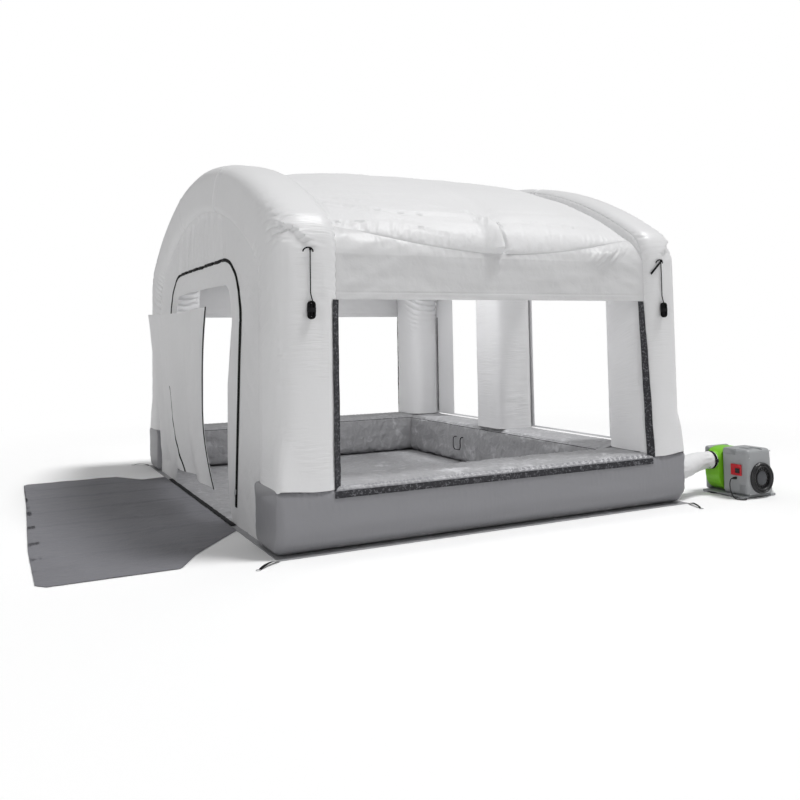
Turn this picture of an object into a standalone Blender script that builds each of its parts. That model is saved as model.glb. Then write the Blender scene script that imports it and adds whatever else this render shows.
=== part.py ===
"""Inflatable paint booth: air-filled arches on a ring of base tubes, cloth walls, a door flap and a blower.

Metres, +Z up. X runs from the doorway end to the blower end and Y from the near side to the far side.
The origin is on the ground, under the middle of the booth's footprint.
"""
import math

import bmesh
import bpy
from mathutils import Matrix, Vector

# Overall sizes
LENGTH = 3.02
WIDTH = 3.96
ARCH_TOP = 2.51

# Clearances between pieces
GAP = 0.0003
CLOTH_GAP = 0.0008
ROOF_GAP = 0.0004

# Inflated tubes
FRONT_TUBE = 0.42
REAR_TUBE = 0.36
LEG_WIDTH = 0.46
REAR_BASE_WIDTH = 0.40
CROWN_THICKNESS = 0.38
OUTER_RADIUS = 3.40
INNER_RADIUS = 2.50
BASE_TOP = 0.38
BASE_END_RADIUS = 0.04
SHOULDER_OUT_FALL = 0.154
SHOULDER_IN_FALL = 0.160
SHOULDER_DROP = 0.10
TUBE_SQUARENESS = 3.4
BASE_SQUARENESS = 8.0
RING_POINTS = 16
TUBE_WALL = 0.003
AIR_HOLE = 0.08
SLEEVE_HOLE_INSET = 0.02
MID_COLUMN_WIDTH = 0.42

# Cloth
CLOTH = 0.004
FLOOR_CLOTH = 0.003
EAVE_Z = ARCH_TOP - 0.640
EAVE_SAG = 0.185
EAVE_ROLL = 0.30
EAVE_GAP = 0.0035
OPENING_TOP = ARCH_TOP - 1.080
ROOF_RISE = 0.083
PLEAT_DEPTH = 0.090
PLEAT_WIDTH = 0.100
PLEAT_START = 0.95

# Doorway in the end panel
DOOR_HALF = 0.80
DOOR_HALF_TOP = 0.92
DOOR_TOP = ARCH_TOP - 0.920
DOOR_WAIST_Z = 0.90
ZIP_TOP = ARCH_TOP - 0.750
ZIP_KNEE = (1.12, ZIP_TOP - 0.460)
ZIP_FOOT = (1.01, 0.12)
ZIP_WIDTH = 0.026
ZIP_THICK = 0.003

# Rear windows
REAR_WINDOW_OUT = 1.215
REAR_WINDOW_BOTTOM = 0.395
REAR_WINDOW_TOP = ARCH_TOP - 0.850

# Zip slider, across, along the wall and up
SLIDER_SIZE = (0.008, 0.016, 0.032)
SLIDER_START = 0.10
TAB_SIZE = (0.002, 0.009, 0.030)

# Door flap
FLAP_TOP = DOOR_TOP - 0.150
FLAP_BOTTOM = 0.21
FLAP_HINGE_Y = 1.05
HINGE_CLEARANCE = 0.0007
FLAP_ROWS = 12
FLAP_COLUMNS = 26

# Sill and mat
SILL_WIDTH = 0.05
SILL_THICK = 0.006
SILL_HALF = 1.02
MAT_FAR_X = -2.71
MAT_NEAR_X = -1.97
MAT_NECK_X = -1.78
MAT_NEAR_Y = -1.855
MAT_FAR_Y = 1.43
MAT_THICK = 0.004

# Hook strips round the side openings
STRIP_WIDTH = 0.046
STRIP_DROP = 0.080

# Blower
BLOWER_X = 2.105
BLOWER_FRONT_Y = -2.10
BLOWER_WIDTH = 0.26
BLOWER_TOP = 0.35
BLOWER_FLOOR = 0.018
BLOWER_LEAN = 0.020
COVER_DEPTH = 0.238
COVER_ROUNDING = 0.026
VOLUTE_DEPTH = 0.130
VOLUTE_HALF = 0.163
VOLUTE_LOW = 0.021
VOLUTE_HIGH = 0.341
REAR_DEPTH = 0.045
SHELL = 0.005
FAN_CAVITY = 0.112
FAN_RADIUS = 0.100
FAN_WIDTH = 0.070
FAN_BLADES = 12
BLADE_THICK = 0.003
HUB_RADIUS = 0.022
SHAFT_RADIUS = 0.007
INTAKE_Z = 0.142
INTAKE_OUTER = 0.112
INTAKE_BORE = 0.078
INTAKE_THICK = 0.020
GRILLE_THICK = 0.005
GRILLE_SLOTS = 18
SLOT_INNER = 0.056
SLOT_OUTER = 0.072
MOTOR_RADIUS = 0.048
MOTOR_LENGTH = 0.150
NOZZLE_RADIUS = 0.060
NOZZLE_Z = 0.250
NOZZLE_REACH = 0.055
FOOT_SIZE = 0.05
FOOT_HEIGHT = 0.012
BASE_SPREAD = 0.035

# Switch on the blower's left side
SWITCH_SIZE = (0.014, 0.090, 0.080)
SWITCH_Y = BLOWER_FRONT_Y + 0.100
SWITCH_Z = 0.200
ROCKER_SIZE = (0.006, 0.039, 0.033)
ROCKER_Y = BLOWER_FRONT_Y + 0.084
ROCKER_Z = 0.195
ROCKER_TRAVEL = 0.008

# Sleeve from the booth to the blower
SLEEVE_WALL = 0.003
SLEEVE_BOOTH_RADIUS = 0.083
SLEEVE_BOOTH_Y = -1.86
SLEEVE_BOOTH_Z = 0.225

# Mains lead
LEAD_DIAMETER = 0.0076
GLAND_LENGTH = 0.033
GLAND_RADIUS = 0.009
GLAND_Y = BLOWER_FRONT_Y + 0.111
GLAND_Z = 0.138
LEAD_REST = LEAD_DIAMETER / 2 + 0.0004
LEAD_FALL = ((0.012, 0.000, 0.000), (0.024, 0.000, -0.009), (0.035, -0.001, -0.032), (0.042, -0.004, -0.066),
             (0.044, -0.010, -0.102), (0.045, -0.019, -0.126))
LEAD_GROUND = ((1.905, -2.021), (1.930, -2.020), (1.970, -2.008), (2.020, -1.975), (2.070, -1.915),
               (2.110, -1.850), (2.150, -1.780), (2.195, -1.715), (2.255, -1.672), (2.325, -1.660))
LEAD_POINTS = 64
COIL_LOOPS = 4.25
COIL_RADIUS = 0.044
COIL_STEP = 0.0086
COIL_PART = 24
TAIL = ((0.015, 0.0), (0.035, -0.002), (0.065, -0.014), (0.095, -0.024), (0.125, -0.028), (0.160, -0.028))
PLUG_SIZE = (0.036, 0.052, 0.024)
PIN_SIZE = (0.0065, 0.018, 0.0015)
PIN_SPACING = 0.0127

# Guy lines
GUY_X = (-1.31, 1.32)
GUY_TOP = ARCH_TOP - 0.802
GUY_DROP = 0.290
BUNDLE_LENGTH = 0.098
BUNDLE_WIDTH = 0.046
BUNDLE_THICK = 0.026
STRAP_WIDTH = 0.011
STRAP_THICK = 0.0025
STRAP_HEM = 0.0010
PATCH_SIZE = (0.065, 0.003, 0.036)

# Ground straps: the corner each leaves from and the way it runs
ANCHORS = (("near_left", -1, -1, (-0.79, -0.61)), ("near_right", 1, -1, (-0.33, -0.94)),
           ("far_left", -1, 1, (-0.75, 0.66)), ("far_right", 1, 1, (0.75, 0.66)))
ANCHOR_LENGTH = 0.165
ANCHOR_WIDTH = 0.025
ANCHOR_RISE = 0.014
RING_RADIUS = 0.013
RING_WIRE = 0.003

# Handle inside, on the rear tube
HANDLE_Y = 0.50
HANDLE_HALF = 0.062
HANDLE_TOP = 0.245
HANDLE_DROP = 0.115
HANDLE_REACH = 0.034
HANDLE_THICK = 0.009

# Zip in the rear corner
REAR_ZIP_Y = 1.545
REAR_ZIP_LOW = 0.400
REAR_ZIP_HIGH = OPENING_TOP - 0.020
REAR_ZIP_WIDTH = 0.012

HALF_L = LENGTH / 2
HALF_W = WIDTH / 2
FRONT_X = -(HALF_L - FRONT_TUBE / 2)
REAR_X = HALF_L - REAR_TUBE / 2
REAR_BASE_X = HALF_L - REAR_BASE_WIDTH / 2
INNER_Y = HALF_W - LEG_WIDTH
TUBE_FLOOR = FLOOR_CLOTH + GAP
BASE_MID = (TUBE_FLOOR + BASE_TOP) / 2
BASE_HALF = (BASE_TOP - TUBE_FLOOR) / 2
CORNER = 2 ** (-1 / TUBE_SQUARENESS)
SEAM_LEFT = FRONT_X + CORNER * FRONT_TUBE / 2
SEAM_RIGHT = REAR_X - CORNER * REAR_TUBE / 2
ROOF_MIDDLE = (SEAM_LEFT + SEAM_RIGHT) / 2
ROOF_HALF = (SEAM_RIGHT - SEAM_LEFT) / 2
FRONT_WALL_X = FRONT_X - CORNER * FRONT_TUBE / 2
REAR_WALL_X = REAR_X + CORNER * REAR_TUBE / 2
MID_Y = HALF_W - LEG_WIDTH / 2
SEAM_Y = MID_Y + CORNER * LEG_WIDTH / 2
PANEL_Y = MID_Y - CORNER * LEG_WIDTH / 2
MAT_INNER_X = -HALF_L - GAP
COVER_LEFT = BLOWER_X - BLOWER_WIDTH / 2
COVER_RIGHT = BLOWER_X + BLOWER_WIDTH / 2
COVER_BACK = BLOWER_FRONT_Y + COVER_DEPTH
VOLUTE_Y = COVER_BACK + GAP + VOLUTE_DEPTH / 2
REAR_Y = VOLUTE_Y + VOLUTE_DEPTH / 2 + GAP
NOZZLE_END = BLOWER_X - VOLUTE_HALF - NOZZLE_REACH
SLEEVE_END = BLOWER_X - VOLUTE_HALF - 2 * GAP
SLEEVE_GRIP = NOZZLE_RADIUS + 2 * GAP + SLEEVE_WALL
MOTOR_BACK = BLOWER_FRONT_Y + MOTOR_LENGTH
FAN_Y = VOLUTE_Y

parts = None
cutters = None


def start_scene():
    """Clear the scene's objects and make the collections for the parts and the cutters."""
    global parts, cutters
    for thing in list(bpy.data.objects):
        bpy.data.objects.remove(thing, do_unlink=True)
    parts = bpy.data.collections.new("inflatable_paint_booth")
    cutters = bpy.data.collections.new("cutters")
    bpy.context.scene.collection.children.link(parts)
    bpy.context.scene.collection.children.link(cutters)


def material(name, colour, roughness, metallic=0.0):
    """A Principled material with a plain colour."""
    made = bpy.data.materials.get(name)
    if made is None:
        made = bpy.data.materials.new(name)
        made.use_nodes = True
        shader = made.node_tree.nodes["Principled BSDF"]
        shader.inputs["Base Color"].default_value = (*colour, 1.0)
        shader.inputs["Roughness"].default_value = roughness
        shader.inputs["Metallic"].default_value = metallic
    return made


def white_cloth():
    return material("white_coated_cloth", (0.78, 0.78, 0.79), 0.45)


def grey_cloth():
    return material("grey_coated_cloth", (0.25, 0.25, 0.27), 0.5)


def floor_grey():
    return material("floor_cloth", (0.33, 0.33, 0.34), 0.55)


def mat_cloth():
    return material("dark_mat_cloth", (0.14, 0.14, 0.16), 0.6)


def black_webbing():
    return material("black_webbing", (0.02, 0.02, 0.022), 0.7)


def hook_cloth():
    return material("dark_hook_strip", (0.07, 0.07, 0.075), 0.8)


def housing_plastic():
    return material("grey_housing_plastic", (0.20, 0.20, 0.20), 0.45)


def green_plastic():
    return material("green_plastic", (0.18, 0.48, 0.014), 0.4)


def black_plastic():
    return material("black_plastic", (0.015, 0.015, 0.016), 0.4)


def red_plastic():
    return material("red_plastic", (0.40, 0.01, 0.02), 0.35)


def black_rubber():
    return material("black_rubber", (0.02, 0.02, 0.02), 0.6)


def bare_steel():
    return material("plated_steel", (0.6, 0.6, 0.6), 0.3, 1.0)


def place(name, mesh_or_curve, mat, collection=None):
    """Link a new object with its material."""
    made = bpy.data.objects.new(name, mesh_or_curve)
    (collection or parts).objects.link(made)
    made.data.materials.append(mat)
    return made


def smooth(mesh, degrees=35.0):
    """Shade smooth but for edges sharper than the angle."""
    mesh.shade_smooth()
    mesh.set_sharp_from_angle(angle=math.radians(degrees))


def finish_mesh(name, bm, mat, degrees=35.0, collection=None):
    """Turn a bmesh into a placed object with its faces outward."""
    bmesh.ops.recalc_face_normals(bm, faces=bm.faces[:])
    mesh = bpy.data.meshes.new(name)
    bm.to_mesh(mesh)
    bm.free()
    smooth(mesh, degrees)
    return place(name, mesh, mat, collection)


def loft(name, rings, mat, degrees=35.0, collection=None):
    """A closed solid through rings of equal point counts, capped at both ends."""
    bm = bmesh.new()
    rows = [[bm.verts.new(p) for p in ring] for ring in rings]
    count = len(rows[0])
    for low, high in zip(rows, rows[1:]):
        for k in range(count):
            bm.faces.new((low[k], low[(k + 1) % count], high[(k + 1) % count], high[k]))
    bm.faces.new(rows[0][::-1])
    bm.faces.new(rows[-1])
    return finish_mesh(name, bm, mat, degrees, collection)


def hose_loft(name, outer, inner, mat, degrees=35.0, closed_end=False):
    """A tube wall between outer and inner rings, open at its start and, unless closed, at its end."""
    bm = bmesh.new()
    skins = [[[bm.verts.new(p) for p in ring] for ring in rings] for rings in (outer, inner)]
    count = len(outer[0])
    for rows in skins:
        for low, high in zip(rows, rows[1:]):
            for k in range(count):
                bm.faces.new((low[k], low[(k + 1) % count], high[(k + 1) % count], high[k]))
    for end in (0,) if closed_end else (0, -1):
        out_ring, in_ring = skins[0][end], skins[1][end]
        for k in range(count):
            n = (k + 1) % count
            bm.faces.new((out_ring[k], out_ring[n], in_ring[n], in_ring[k]))
    if closed_end:
        for rows in skins:
            bm.faces.new(rows[-1])
    return finish_mesh(name, bm, mat, degrees)


def signed_power(value, power):
    return math.copysign(abs(value) ** power, value)


def round_square(k, count, squareness):
    """Point k of a square with rounded corners, from -1 to 1 both ways."""
    angle = 2 * math.pi * k / count
    power = 2 / squareness
    return signed_power(math.cos(angle), power), signed_power(math.sin(angle), power)


def box(name, low, high, mat, bevel=0.0, segments=2, collection=None):
    """A block between two corners, its edges rounded with a Bevel modifier."""
    low, high = Vector(low), Vector(high)
    bm = bmesh.new()
    bmesh.ops.create_cube(bm, size=1.0)
    size = high - low
    bmesh.ops.scale(bm, vec=size, verts=bm.verts[:])
    mesh = bpy.data.meshes.new(name)
    bm.to_mesh(mesh)
    bm.free()
    made = place(name, mesh, mat, collection)
    made.location = (low + high) / 2
    if bevel:
        rounding = made.modifiers.new("rounded_edges", "BEVEL")
        rounding.width = bevel
        rounding.segments = segments
        rounding.limit_method = "ANGLE"
    return made


def cylinder(name, centre, axis, radius, length, mat, sides=24, collection=None, tip=None):
    """A cylinder or cone about an axis."""
    bm = bmesh.new()
    bmesh.ops.create_cone(bm, cap_ends=True, segments=sides, radius1=radius,
                          radius2=radius if tip is None else tip, depth=length)
    mesh = bpy.data.meshes.new(name)
    bm.to_mesh(mesh)
    bm.free()
    smooth(mesh)
    made = place(name, mesh, mat, collection)
    made.location = centre
    made.rotation_mode = "QUATERNION"
    made.rotation_quaternion = Vector((0, 0, 1)).rotation_difference(Vector(axis))
    return made


def cut(target, cutter, operation="DIFFERENCE"):
    """Cut a target with, or join it to, a hidden object."""
    cutter.hide_render = True
    cutter.display_type = "WIRE"
    step = target.modifiers.new(operation.lower(), "BOOLEAN")
    step.operation = operation
    step.object = cutter
    return step


def flat_outline(name, loops, thick, mat, frame, collection=None):
    """A flat plate from closed outlines in its own plane; frame places that plane in the booth."""
    curve = bpy.data.curves.new(name, "CURVE")
    curve.dimensions = "2D"
    curve.fill_mode = "BOTH"
    curve.extrude = thick / 2
    for loop in loops:
        spline = curve.splines.new("POLY")
        spline.points.add(len(loop) - 1)
        for point, (a, b) in zip(spline.points, loop):
            point.co = (a, b, 0.0, 1.0)
        spline.use_cyclic_u = True
    made = place(name, curve, mat, collection)
    made.matrix_world = frame
    return made


def wall_frame(x):
    """The plane x = constant, its own x along the booth's Y and its own y up."""
    return Matrix(((0, 0, 1, x), (1, 0, 0, 0), (0, 1, 0, 0), (0, 0, 0, 1)))


def side_frame(y):
    """The plane y = constant, its own x along the booth's X and its own y up."""
    return Matrix(((1, 0, 0, 0), (0, 0, -1, y), (0, 1, 0, 0), (0, 0, 0, 1)))


def ground_frame(z):
    return Matrix.Translation((0, 0, z))


def wire(name, points, diameter, mat, resolution=2, cyclic=False):
    """A round tube along straight steps between points."""
    curve = bpy.data.curves.new(name, "CURVE")
    curve.dimensions = "3D"
    curve.bevel_depth = diameter / 2
    curve.bevel_resolution = resolution
    curve.use_fill_caps = not cyclic
    spline = curve.splines.new("POLY")
    spline.points.add(len(points) - 1)
    for point, place_at in zip(spline.points, points):
        point.co = (*place_at, 1.0)
    spline.use_cyclic_u = cyclic
    return place(name, curve, mat)


def along(points, share):
    """The point at a share of the way along a line of points."""
    points = [Vector(p) for p in points]
    steps = [(b - a).length for a, b in zip(points, points[1:])]
    left = share * sum(steps)
    for (a, b), step in zip(zip(points, points[1:]), steps):
        if left <= step:
            return a.lerp(b, left / step)
        left -= step
    return points[-1]


def smooth_route(points, count):
    """Points evenly spaced along a Catmull-Rom curve through a route's own points."""
    points = [Vector(p) for p in points]
    padded = [2 * points[0] - points[1], *points, 2 * points[-1] - points[-2]]
    fine = []
    for p0, p1, p2, p3 in zip(padded, padded[1:], padded[2:], padded[3:]):
        for k in range(12):
            t = k / 12
            fine.append(0.5 * (2 * p1 + (p2 - p0) * t + (2 * p0 - 5 * p1 + 4 * p2 - p3) * t ** 2
                               + (3 * p1 - p0 - 3 * p2 + p3) * t ** 3))
    fine.append(points[-1])
    return [along(fine, k / (count - 1)) for k in range(count)]


# The arches' section line: pairs of points on the inner and outer side of the tube, as (y, z)
def bezier(p0, p1, p2, t):
    return tuple((1 - t) ** 2 * a + 2 * t * (1 - t) * b + t * t * c for a, b, c in zip(p0, p1, p2))


def on_arc(radius, top, y):
    """The height of an arc with its crown over y = 0."""
    return top - radius + math.sqrt(radius * radius - y * y)


ARC_SHARE_OUT = HALF_W - SHOULDER_DROP
ARC_SHARE_IN = INNER_Y - SHOULDER_DROP * 1.3
INNER_TOP = ARCH_TOP - CROWN_THICKNESS
SHOULDER_OUT_Z = on_arc(OUTER_RADIUS, ARCH_TOP, HALF_W) - SHOULDER_OUT_FALL
SHOULDER_IN_Z = on_arc(INNER_RADIUS, INNER_TOP, INNER_Y) - SHOULDER_IN_FALL


def outer_line(t):
    """The outer side from the crown (0) over the shoulder (1 to 2) and down the leg (3)."""
    end = (ARC_SHARE_OUT, on_arc(OUTER_RADIUS, ARCH_TOP, ARC_SHARE_OUT))
    if t <= 1:
        return (t * end[0], on_arc(OUTER_RADIUS, ARCH_TOP, t * end[0]))
    corner = (HALF_W, on_arc(OUTER_RADIUS, ARCH_TOP, HALF_W))
    if t <= 2:
        return bezier(end, corner, (HALF_W, SHOULDER_OUT_Z), t - 1)
    return (HALF_W, SHOULDER_OUT_Z + (t - 2) * (BASE_TOP + GAP - SHOULDER_OUT_Z))


def inner_line(t):
    """The inner side, at the same stations."""
    end = (ARC_SHARE_IN, on_arc(INNER_RADIUS, INNER_TOP, ARC_SHARE_IN))
    if t <= 1:
        return (t * end[0], on_arc(INNER_RADIUS, INNER_TOP, t * end[0]))
    corner = (INNER_Y, on_arc(INNER_RADIUS, INNER_TOP, INNER_Y))
    if t <= 2:
        return bezier(end, corner, (INNER_Y, SHOULDER_IN_Z), t - 1)
    return (INNER_Y, SHOULDER_IN_Z + (t - 2) * (BASE_TOP + GAP - SHOULDER_IN_Z))


ARCH_STATIONS = [k / 8 for k in range(8)] + [1 + k / 5 for k in range(5)] + [2 + k / 4 for k in range(5)]


def between(t, share):
    """A point in the tube's section at a station: share is -1 on the inner side and 1 on the outer."""
    inner, outer = inner_line(t), outer_line(t)
    return tuple((a + b) / 2 + share * (b - a) / 2 for a, b in zip(inner, outer))


def arch_ring(t, side, x, depth, wall):
    """One ring of an arch tube, on the near (-1) or far (1) side, a wall's thickness inside its skin."""
    inner, outer = inner_line(t), outer_line(t)
    narrow = 1 - 2 * wall / math.dist(inner, outer)
    ring = []
    for k in range(RING_POINTS):
        u, v = round_square(k, RING_POINTS, TUBE_SQUARENESS)
        y, z = between(t, v * narrow)
        ring.append((x + u * (depth / 2 - wall), side * y, z))
    return ring


def arch_tube(name, x, depth):
    """One arch with its two legs, open at the feet into the base tubes."""
    skins = []
    for wall in (0.0, TUBE_WALL):
        near = [arch_ring(t, -1, x, depth, wall) for t in reversed(ARCH_STATIONS)]
        far = [arch_ring(t, 1, x, depth, wall) for t in ARCH_STATIONS[1:]]
        skins.append(near + far)
    return hose_loft(name, skins[0], skins[1], white_cloth(), 60)


def base_ring(along_x, centre, width, shrink):
    """One ring of a base tube, in the plane across its length."""
    ring = []
    for k in range(RING_POINTS):
        u, v = round_square(k, RING_POINTS, BASE_SQUARENESS)
        ring.append((along_x, centre + u * (width / 2 - shrink), BASE_MID + v * (BASE_HALF - shrink)))
    return ring


def side_base_tube(name, centre, wall=0.0, collection=None):
    """A base tube along X with rounded ends, or the air space inside it."""
    stations = []
    for k in range(4):
        angle = math.pi / 2 * k / 3
        inset = BASE_END_RADIUS * (1 - math.cos(angle))
        stations.append((-HALF_L + wall + inset, wall + BASE_END_RADIUS * (1 - math.sin(angle))))
    stations += [(-at, shrink) for at, shrink in reversed(stations)]
    rings = [base_ring(at, centre, LEG_WIDTH, shrink) for at, shrink in stations]
    return loft(name, rings, grey_cloth(), 60, collection)


def air_hole(name, at, axis, radius):
    """A round cutter through a tube's wall."""
    return cylinder(name, at, axis, radius, AIR_HOLE, grey_cloth(), 20, cutters)


def make_base_tubes():
    """The ring of base tubes, hollow, with air holes where they meet the legs, the sleeve and each other."""
    for name, side in (("near", -1), ("far", 1)):
        tube = side_base_tube(f"base_tube_{name}", side * MID_Y)
        cut(tube, side_base_tube(f"air_space_{name}", side * MID_Y, TUBE_WALL, cutters))
        holes = [((FRONT_X, side * MID_Y, BASE_TOP), (0, 0, 1)),
                 ((REAR_X, side * MID_Y, BASE_TOP), (0, 0, 1)),
                 ((REAR_BASE_X, side * INNER_Y, BASE_MID), (0, 1, 0))]
        if side < 0:
            holes.append(((HALF_L, SLEEVE_BOOTH_Y, SLEEVE_BOOTH_Z), (1, 0, 0)))
        for k, (at, axis) in enumerate(holes):
            radius = AIR_HOLE if k < 3 else SLEEVE_BOOTH_RADIUS - SLEEVE_HOLE_INSET
            cut(tube, air_hole(f"air_hole_{name}_{k}", at, axis, radius))
    reach = INNER_Y - GAP
    skins = []
    for wall in (0.0, TUBE_WALL):
        rings = [base_ring(at, REAR_BASE_X, REAR_BASE_WIDTH, wall) for at in (-reach, reach)]
        skins.append([[(y, x, z) for x, y, z in ring] for ring in rings])
    rear = hose_loft("base_tube_rear", skins[0], skins[1], grey_cloth(), 60)
    cut(rear, air_hole("air_hole_post", (REAR_X, 0, BASE_TOP), (0, 0, 1), AIR_HOLE))


def make_post():
    """The air-filled post between the rear windows, closed at its top under the arch."""
    front, back = HALF_L - REAR_BASE_WIDTH, REAR_WALL_X - CLOTH / 2 - 2 * GAP
    foot = BASE_TOP + GAP
    skins = []
    for wall in (0.0, TUBE_WALL):
        rings = []
        for share in (0.0, 0.25, 0.5, 0.75, 1.0):
            ring = []
            for k in range(RING_POINTS):
                u, v = round_square(k, RING_POINTS, TUBE_SQUARENESS)
                y = v * (MID_COLUMN_WIDTH / 2 - wall)
                step = ARC_SHARE_IN / 8
                first = int(abs(y) // step) * step
                low = on_arc(INNER_RADIUS, INNER_TOP, first)
                high = on_arc(INNER_RADIUS, INNER_TOP, first + step)
                ceiling = low + (high - low) * (abs(y) - first) / step - 2 * GAP - wall
                x = (front + back) / 2 + u * ((back - front) / 2 - wall)
                ring.append((x, y, foot + share * (ceiling - foot)))
            rings.append(ring)
        skins.append(rings)
    hose_loft("rear_mid_column", skins[0], skins[1], white_cloth(), 60, closed_end=True)


# The cloth is sewn to the tubes' inner flanks over the arches, and nearer their outer side on the legs
def seam_point(t):
    """A point of the seam on the front arch: (inset from the tube's middle, y, z)."""
    low_u, low_v = round_square(1, RING_POINTS, TUBE_SQUARENESS)
    ease = min(1.0, max(0.0, t - 1))
    reach, share = low_u + (CORNER - low_u) * ease, low_v + (CORNER - low_v) * ease
    return (reach * FRONT_TUBE / 2, *between(t, share))


def cover_line():
    """The line that the cloth follows, from the crown to the side opening's top."""
    stations = [k / 32 for k in range(32)] + [1 + k / 20 for k in range(21)]
    line = [seam_point(t) for t in stations]
    return [point for point in line if point[2] > OPENING_TOP] + [(line[-1][0], SEAM_Y, OPENING_TOP)]


def line_length(points):
    return sum((Vector(b) - Vector(a)).length for a, b in zip(points, points[1:]))


COVER = cover_line()
COVER_LENGTH = line_length(COVER)
ROOF_ROWS = [line_length(COVER[:4 * k + 1]) for k in range(9)]
EAVE_ROWS = 6
COVER_COLUMNS = 20


def cover_at(distance):
    """(seam inset, y, z, outward y, outward z) at a distance along the cloth's line from the crown."""
    here = along(COVER, distance / COVER_LENGTH)
    before = along(COVER, max(distance - 0.02, 0.0) / COVER_LENGTH)
    after = along(COVER, min(distance + 0.02, COVER_LENGTH) / COVER_LENGTH)
    run = after - before
    out = Vector((0, -run.z, run.y)).normalized()
    return here.x, here.y, here.z, out.y, out.z


def distance_to(height):
    """How far along the cloth's line a height lies."""
    low, high = 0.0, COVER_LENGTH
    for _ in range(40):
        middle = (low + high) / 2
        if along(COVER, middle / COVER_LENGTH).z > height:
            low = middle
        else:
            high = middle
    return low


EAVE_START = distance_to(EAVE_Z)


def eave_distance(share):
    """The seam between roof and side wall, dipping to its middle; share is -1 to 1 between the arches."""
    return EAVE_START + EAVE_SAG * (1 - share ** 2)


def across_roof(share, inset, gap):
    """The x at a share of the way between the arches' seams, an inset from the tubes' middles."""
    left = FRONT_X + inset + gap
    right = REAR_X - inset * REAR_TUBE / FRONT_TUBE - gap
    return (left + right) / 2 + share * (right - left) / 2


def roof_shape(share, distance, reach):
    """The roof's rise over its seams: a low vault that rolls over at the eave, with a pleat at its middle."""
    vault = ROOF_RISE * (1 - share ** 4)
    near_eave = max(0.0, min(1.0, (distance - PLEAT_START) / (EAVE_START - PLEAT_START)))
    pleat = PLEAT_DEPTH * near_eave * math.exp(-(share * ROOF_HALF / PLEAT_WIDTH) ** 2)
    roll = max(0.0, min(1.0, (reach - distance) / EAVE_ROLL)) ** 0.6
    return (vault - pleat) * roll


def grid_sheet(name, mat, rows, columns, surface, thick=CLOTH, thin_side=None):
    """A grid laid on a formula's surface and given the cloth's thickness; thin_side tapers its u = 0 edge."""
    bm = bmesh.new()
    bmesh.ops.create_grid(bm, x_segments=columns, y_segments=rows, size=1.0)
    thin = []
    for vert in bm.verts:
        u, v = (vert.co.x + 1) / 2, (vert.co.y + 1) / 2
        thin.append(u < 0.5 / columns)
        vert.co = surface(u, v)
    mesh = bpy.data.meshes.new(name)
    bm.to_mesh(mesh)
    bm.free()
    smooth(mesh, 60)
    made = place(name, mesh, mat)
    shell = made.modifiers.new("cloth_thickness", "SOLIDIFY")
    shell.thickness = thick
    shell.offset = 0.0
    if thin_side is not None:
        group = made.vertex_groups.new(name="full_thickness")
        group.add([k for k, edge in enumerate(thin) if not edge], 1.0, "REPLACE")
        shell.vertex_group = group.name
        shell.thickness_vertex_group = thin_side
    return made


def roof_surface(u, v):
    """The roof cloth: u along the booth, v from the near eave over the crown to the far eave."""
    share = 2 * u - 1
    side = -1 if v < 0.5 else 1
    rows = len(ROOF_ROWS) - 1 + EAVE_ROWS
    row = abs(2 * v - 1) * rows
    reach = eave_distance(share)
    whole = round(row)
    if whole < len(ROOF_ROWS):
        distance = ROOF_ROWS[whole]
    else:
        distance = ROOF_ROWS[-1] + (reach - ROOF_ROWS[-1]) * (whole - len(ROOF_ROWS) + 1) / EAVE_ROWS
    inset, y, z, out_y, out_z = cover_at(distance)
    rise = CLOTH / 2 + ROOF_GAP + roof_shape(share, distance, reach)
    return Vector((across_roof(share, inset, ROOF_GAP), side * (y + out_y * rise), z + out_z * rise))


def valance_surface(side):
    """The strip of side wall between the eave and the side opening."""
    def surface(u, v):
        start = eave_distance(2 * u - 1) + EAVE_GAP
        distance = start + (1 - v) ** 1.7 * (COVER_LENGTH - start)
        inset, y, z, out_y, out_z = cover_at(distance)
        rise = CLOTH / 2 + 2 * CLOTH_GAP
        x = across_roof(2 * u - 1, inset, CLOTH_GAP)
        return Vector((x, side * (y + out_y * rise), z + out_z * rise))
    return surface


def make_cover():
    """The roof and the two side walls over the openings."""
    rows = 2 * (len(ROOF_ROWS) - 1 + EAVE_ROWS)
    grid_sheet("roof_panel", white_cloth(), rows, COVER_COLUMNS, roof_surface)
    grid_sheet("side_valance_near", white_cloth(), 7, COVER_COLUMNS, valance_surface(-1))
    grid_sheet("side_valance_far", white_cloth(), 7, COVER_COLUMNS, valance_surface(1))


def inner_seam(foot):
    """The end panels' outer edge along the inner side of an arch, just clear of the tube."""
    clear = CLOTH / 2 + 2 * GAP
    line = [between(t, -CORNER) for t in ARCH_STATIONS]
    line = [(max(y - clear * min(1.0, 3 * y), 0.0), z - clear) for y, z in line if z > BASE_TOP + 0.02]
    line[0] = (0.0, line[0][1])
    step = BASE_TOP + clear
    base_y = INNER_Y - clear
    return line + [(PANEL_Y - clear, step), (base_y, step), (base_y, foot)]


def door_edge(foot):
    """One side of the doorway's edge, from the middle of its top down to the foot."""
    return [(0.0, DOOR_TOP), (DOOR_HALF_TOP - 0.15, DOOR_TOP - 0.01), (DOOR_HALF_TOP - 0.06, DOOR_TOP - 0.08),
            (DOOR_HALF_TOP, DOOR_TOP - 0.24), (DOOR_HALF_TOP - 0.06, DOOR_TOP - 0.44),
            (DOOR_HALF, DOOR_WAIST_Z), (DOOR_HALF, 0.33), (DOOR_HALF + 0.04, 0.15), (DOOR_HALF + 0.10, foot)]


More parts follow.
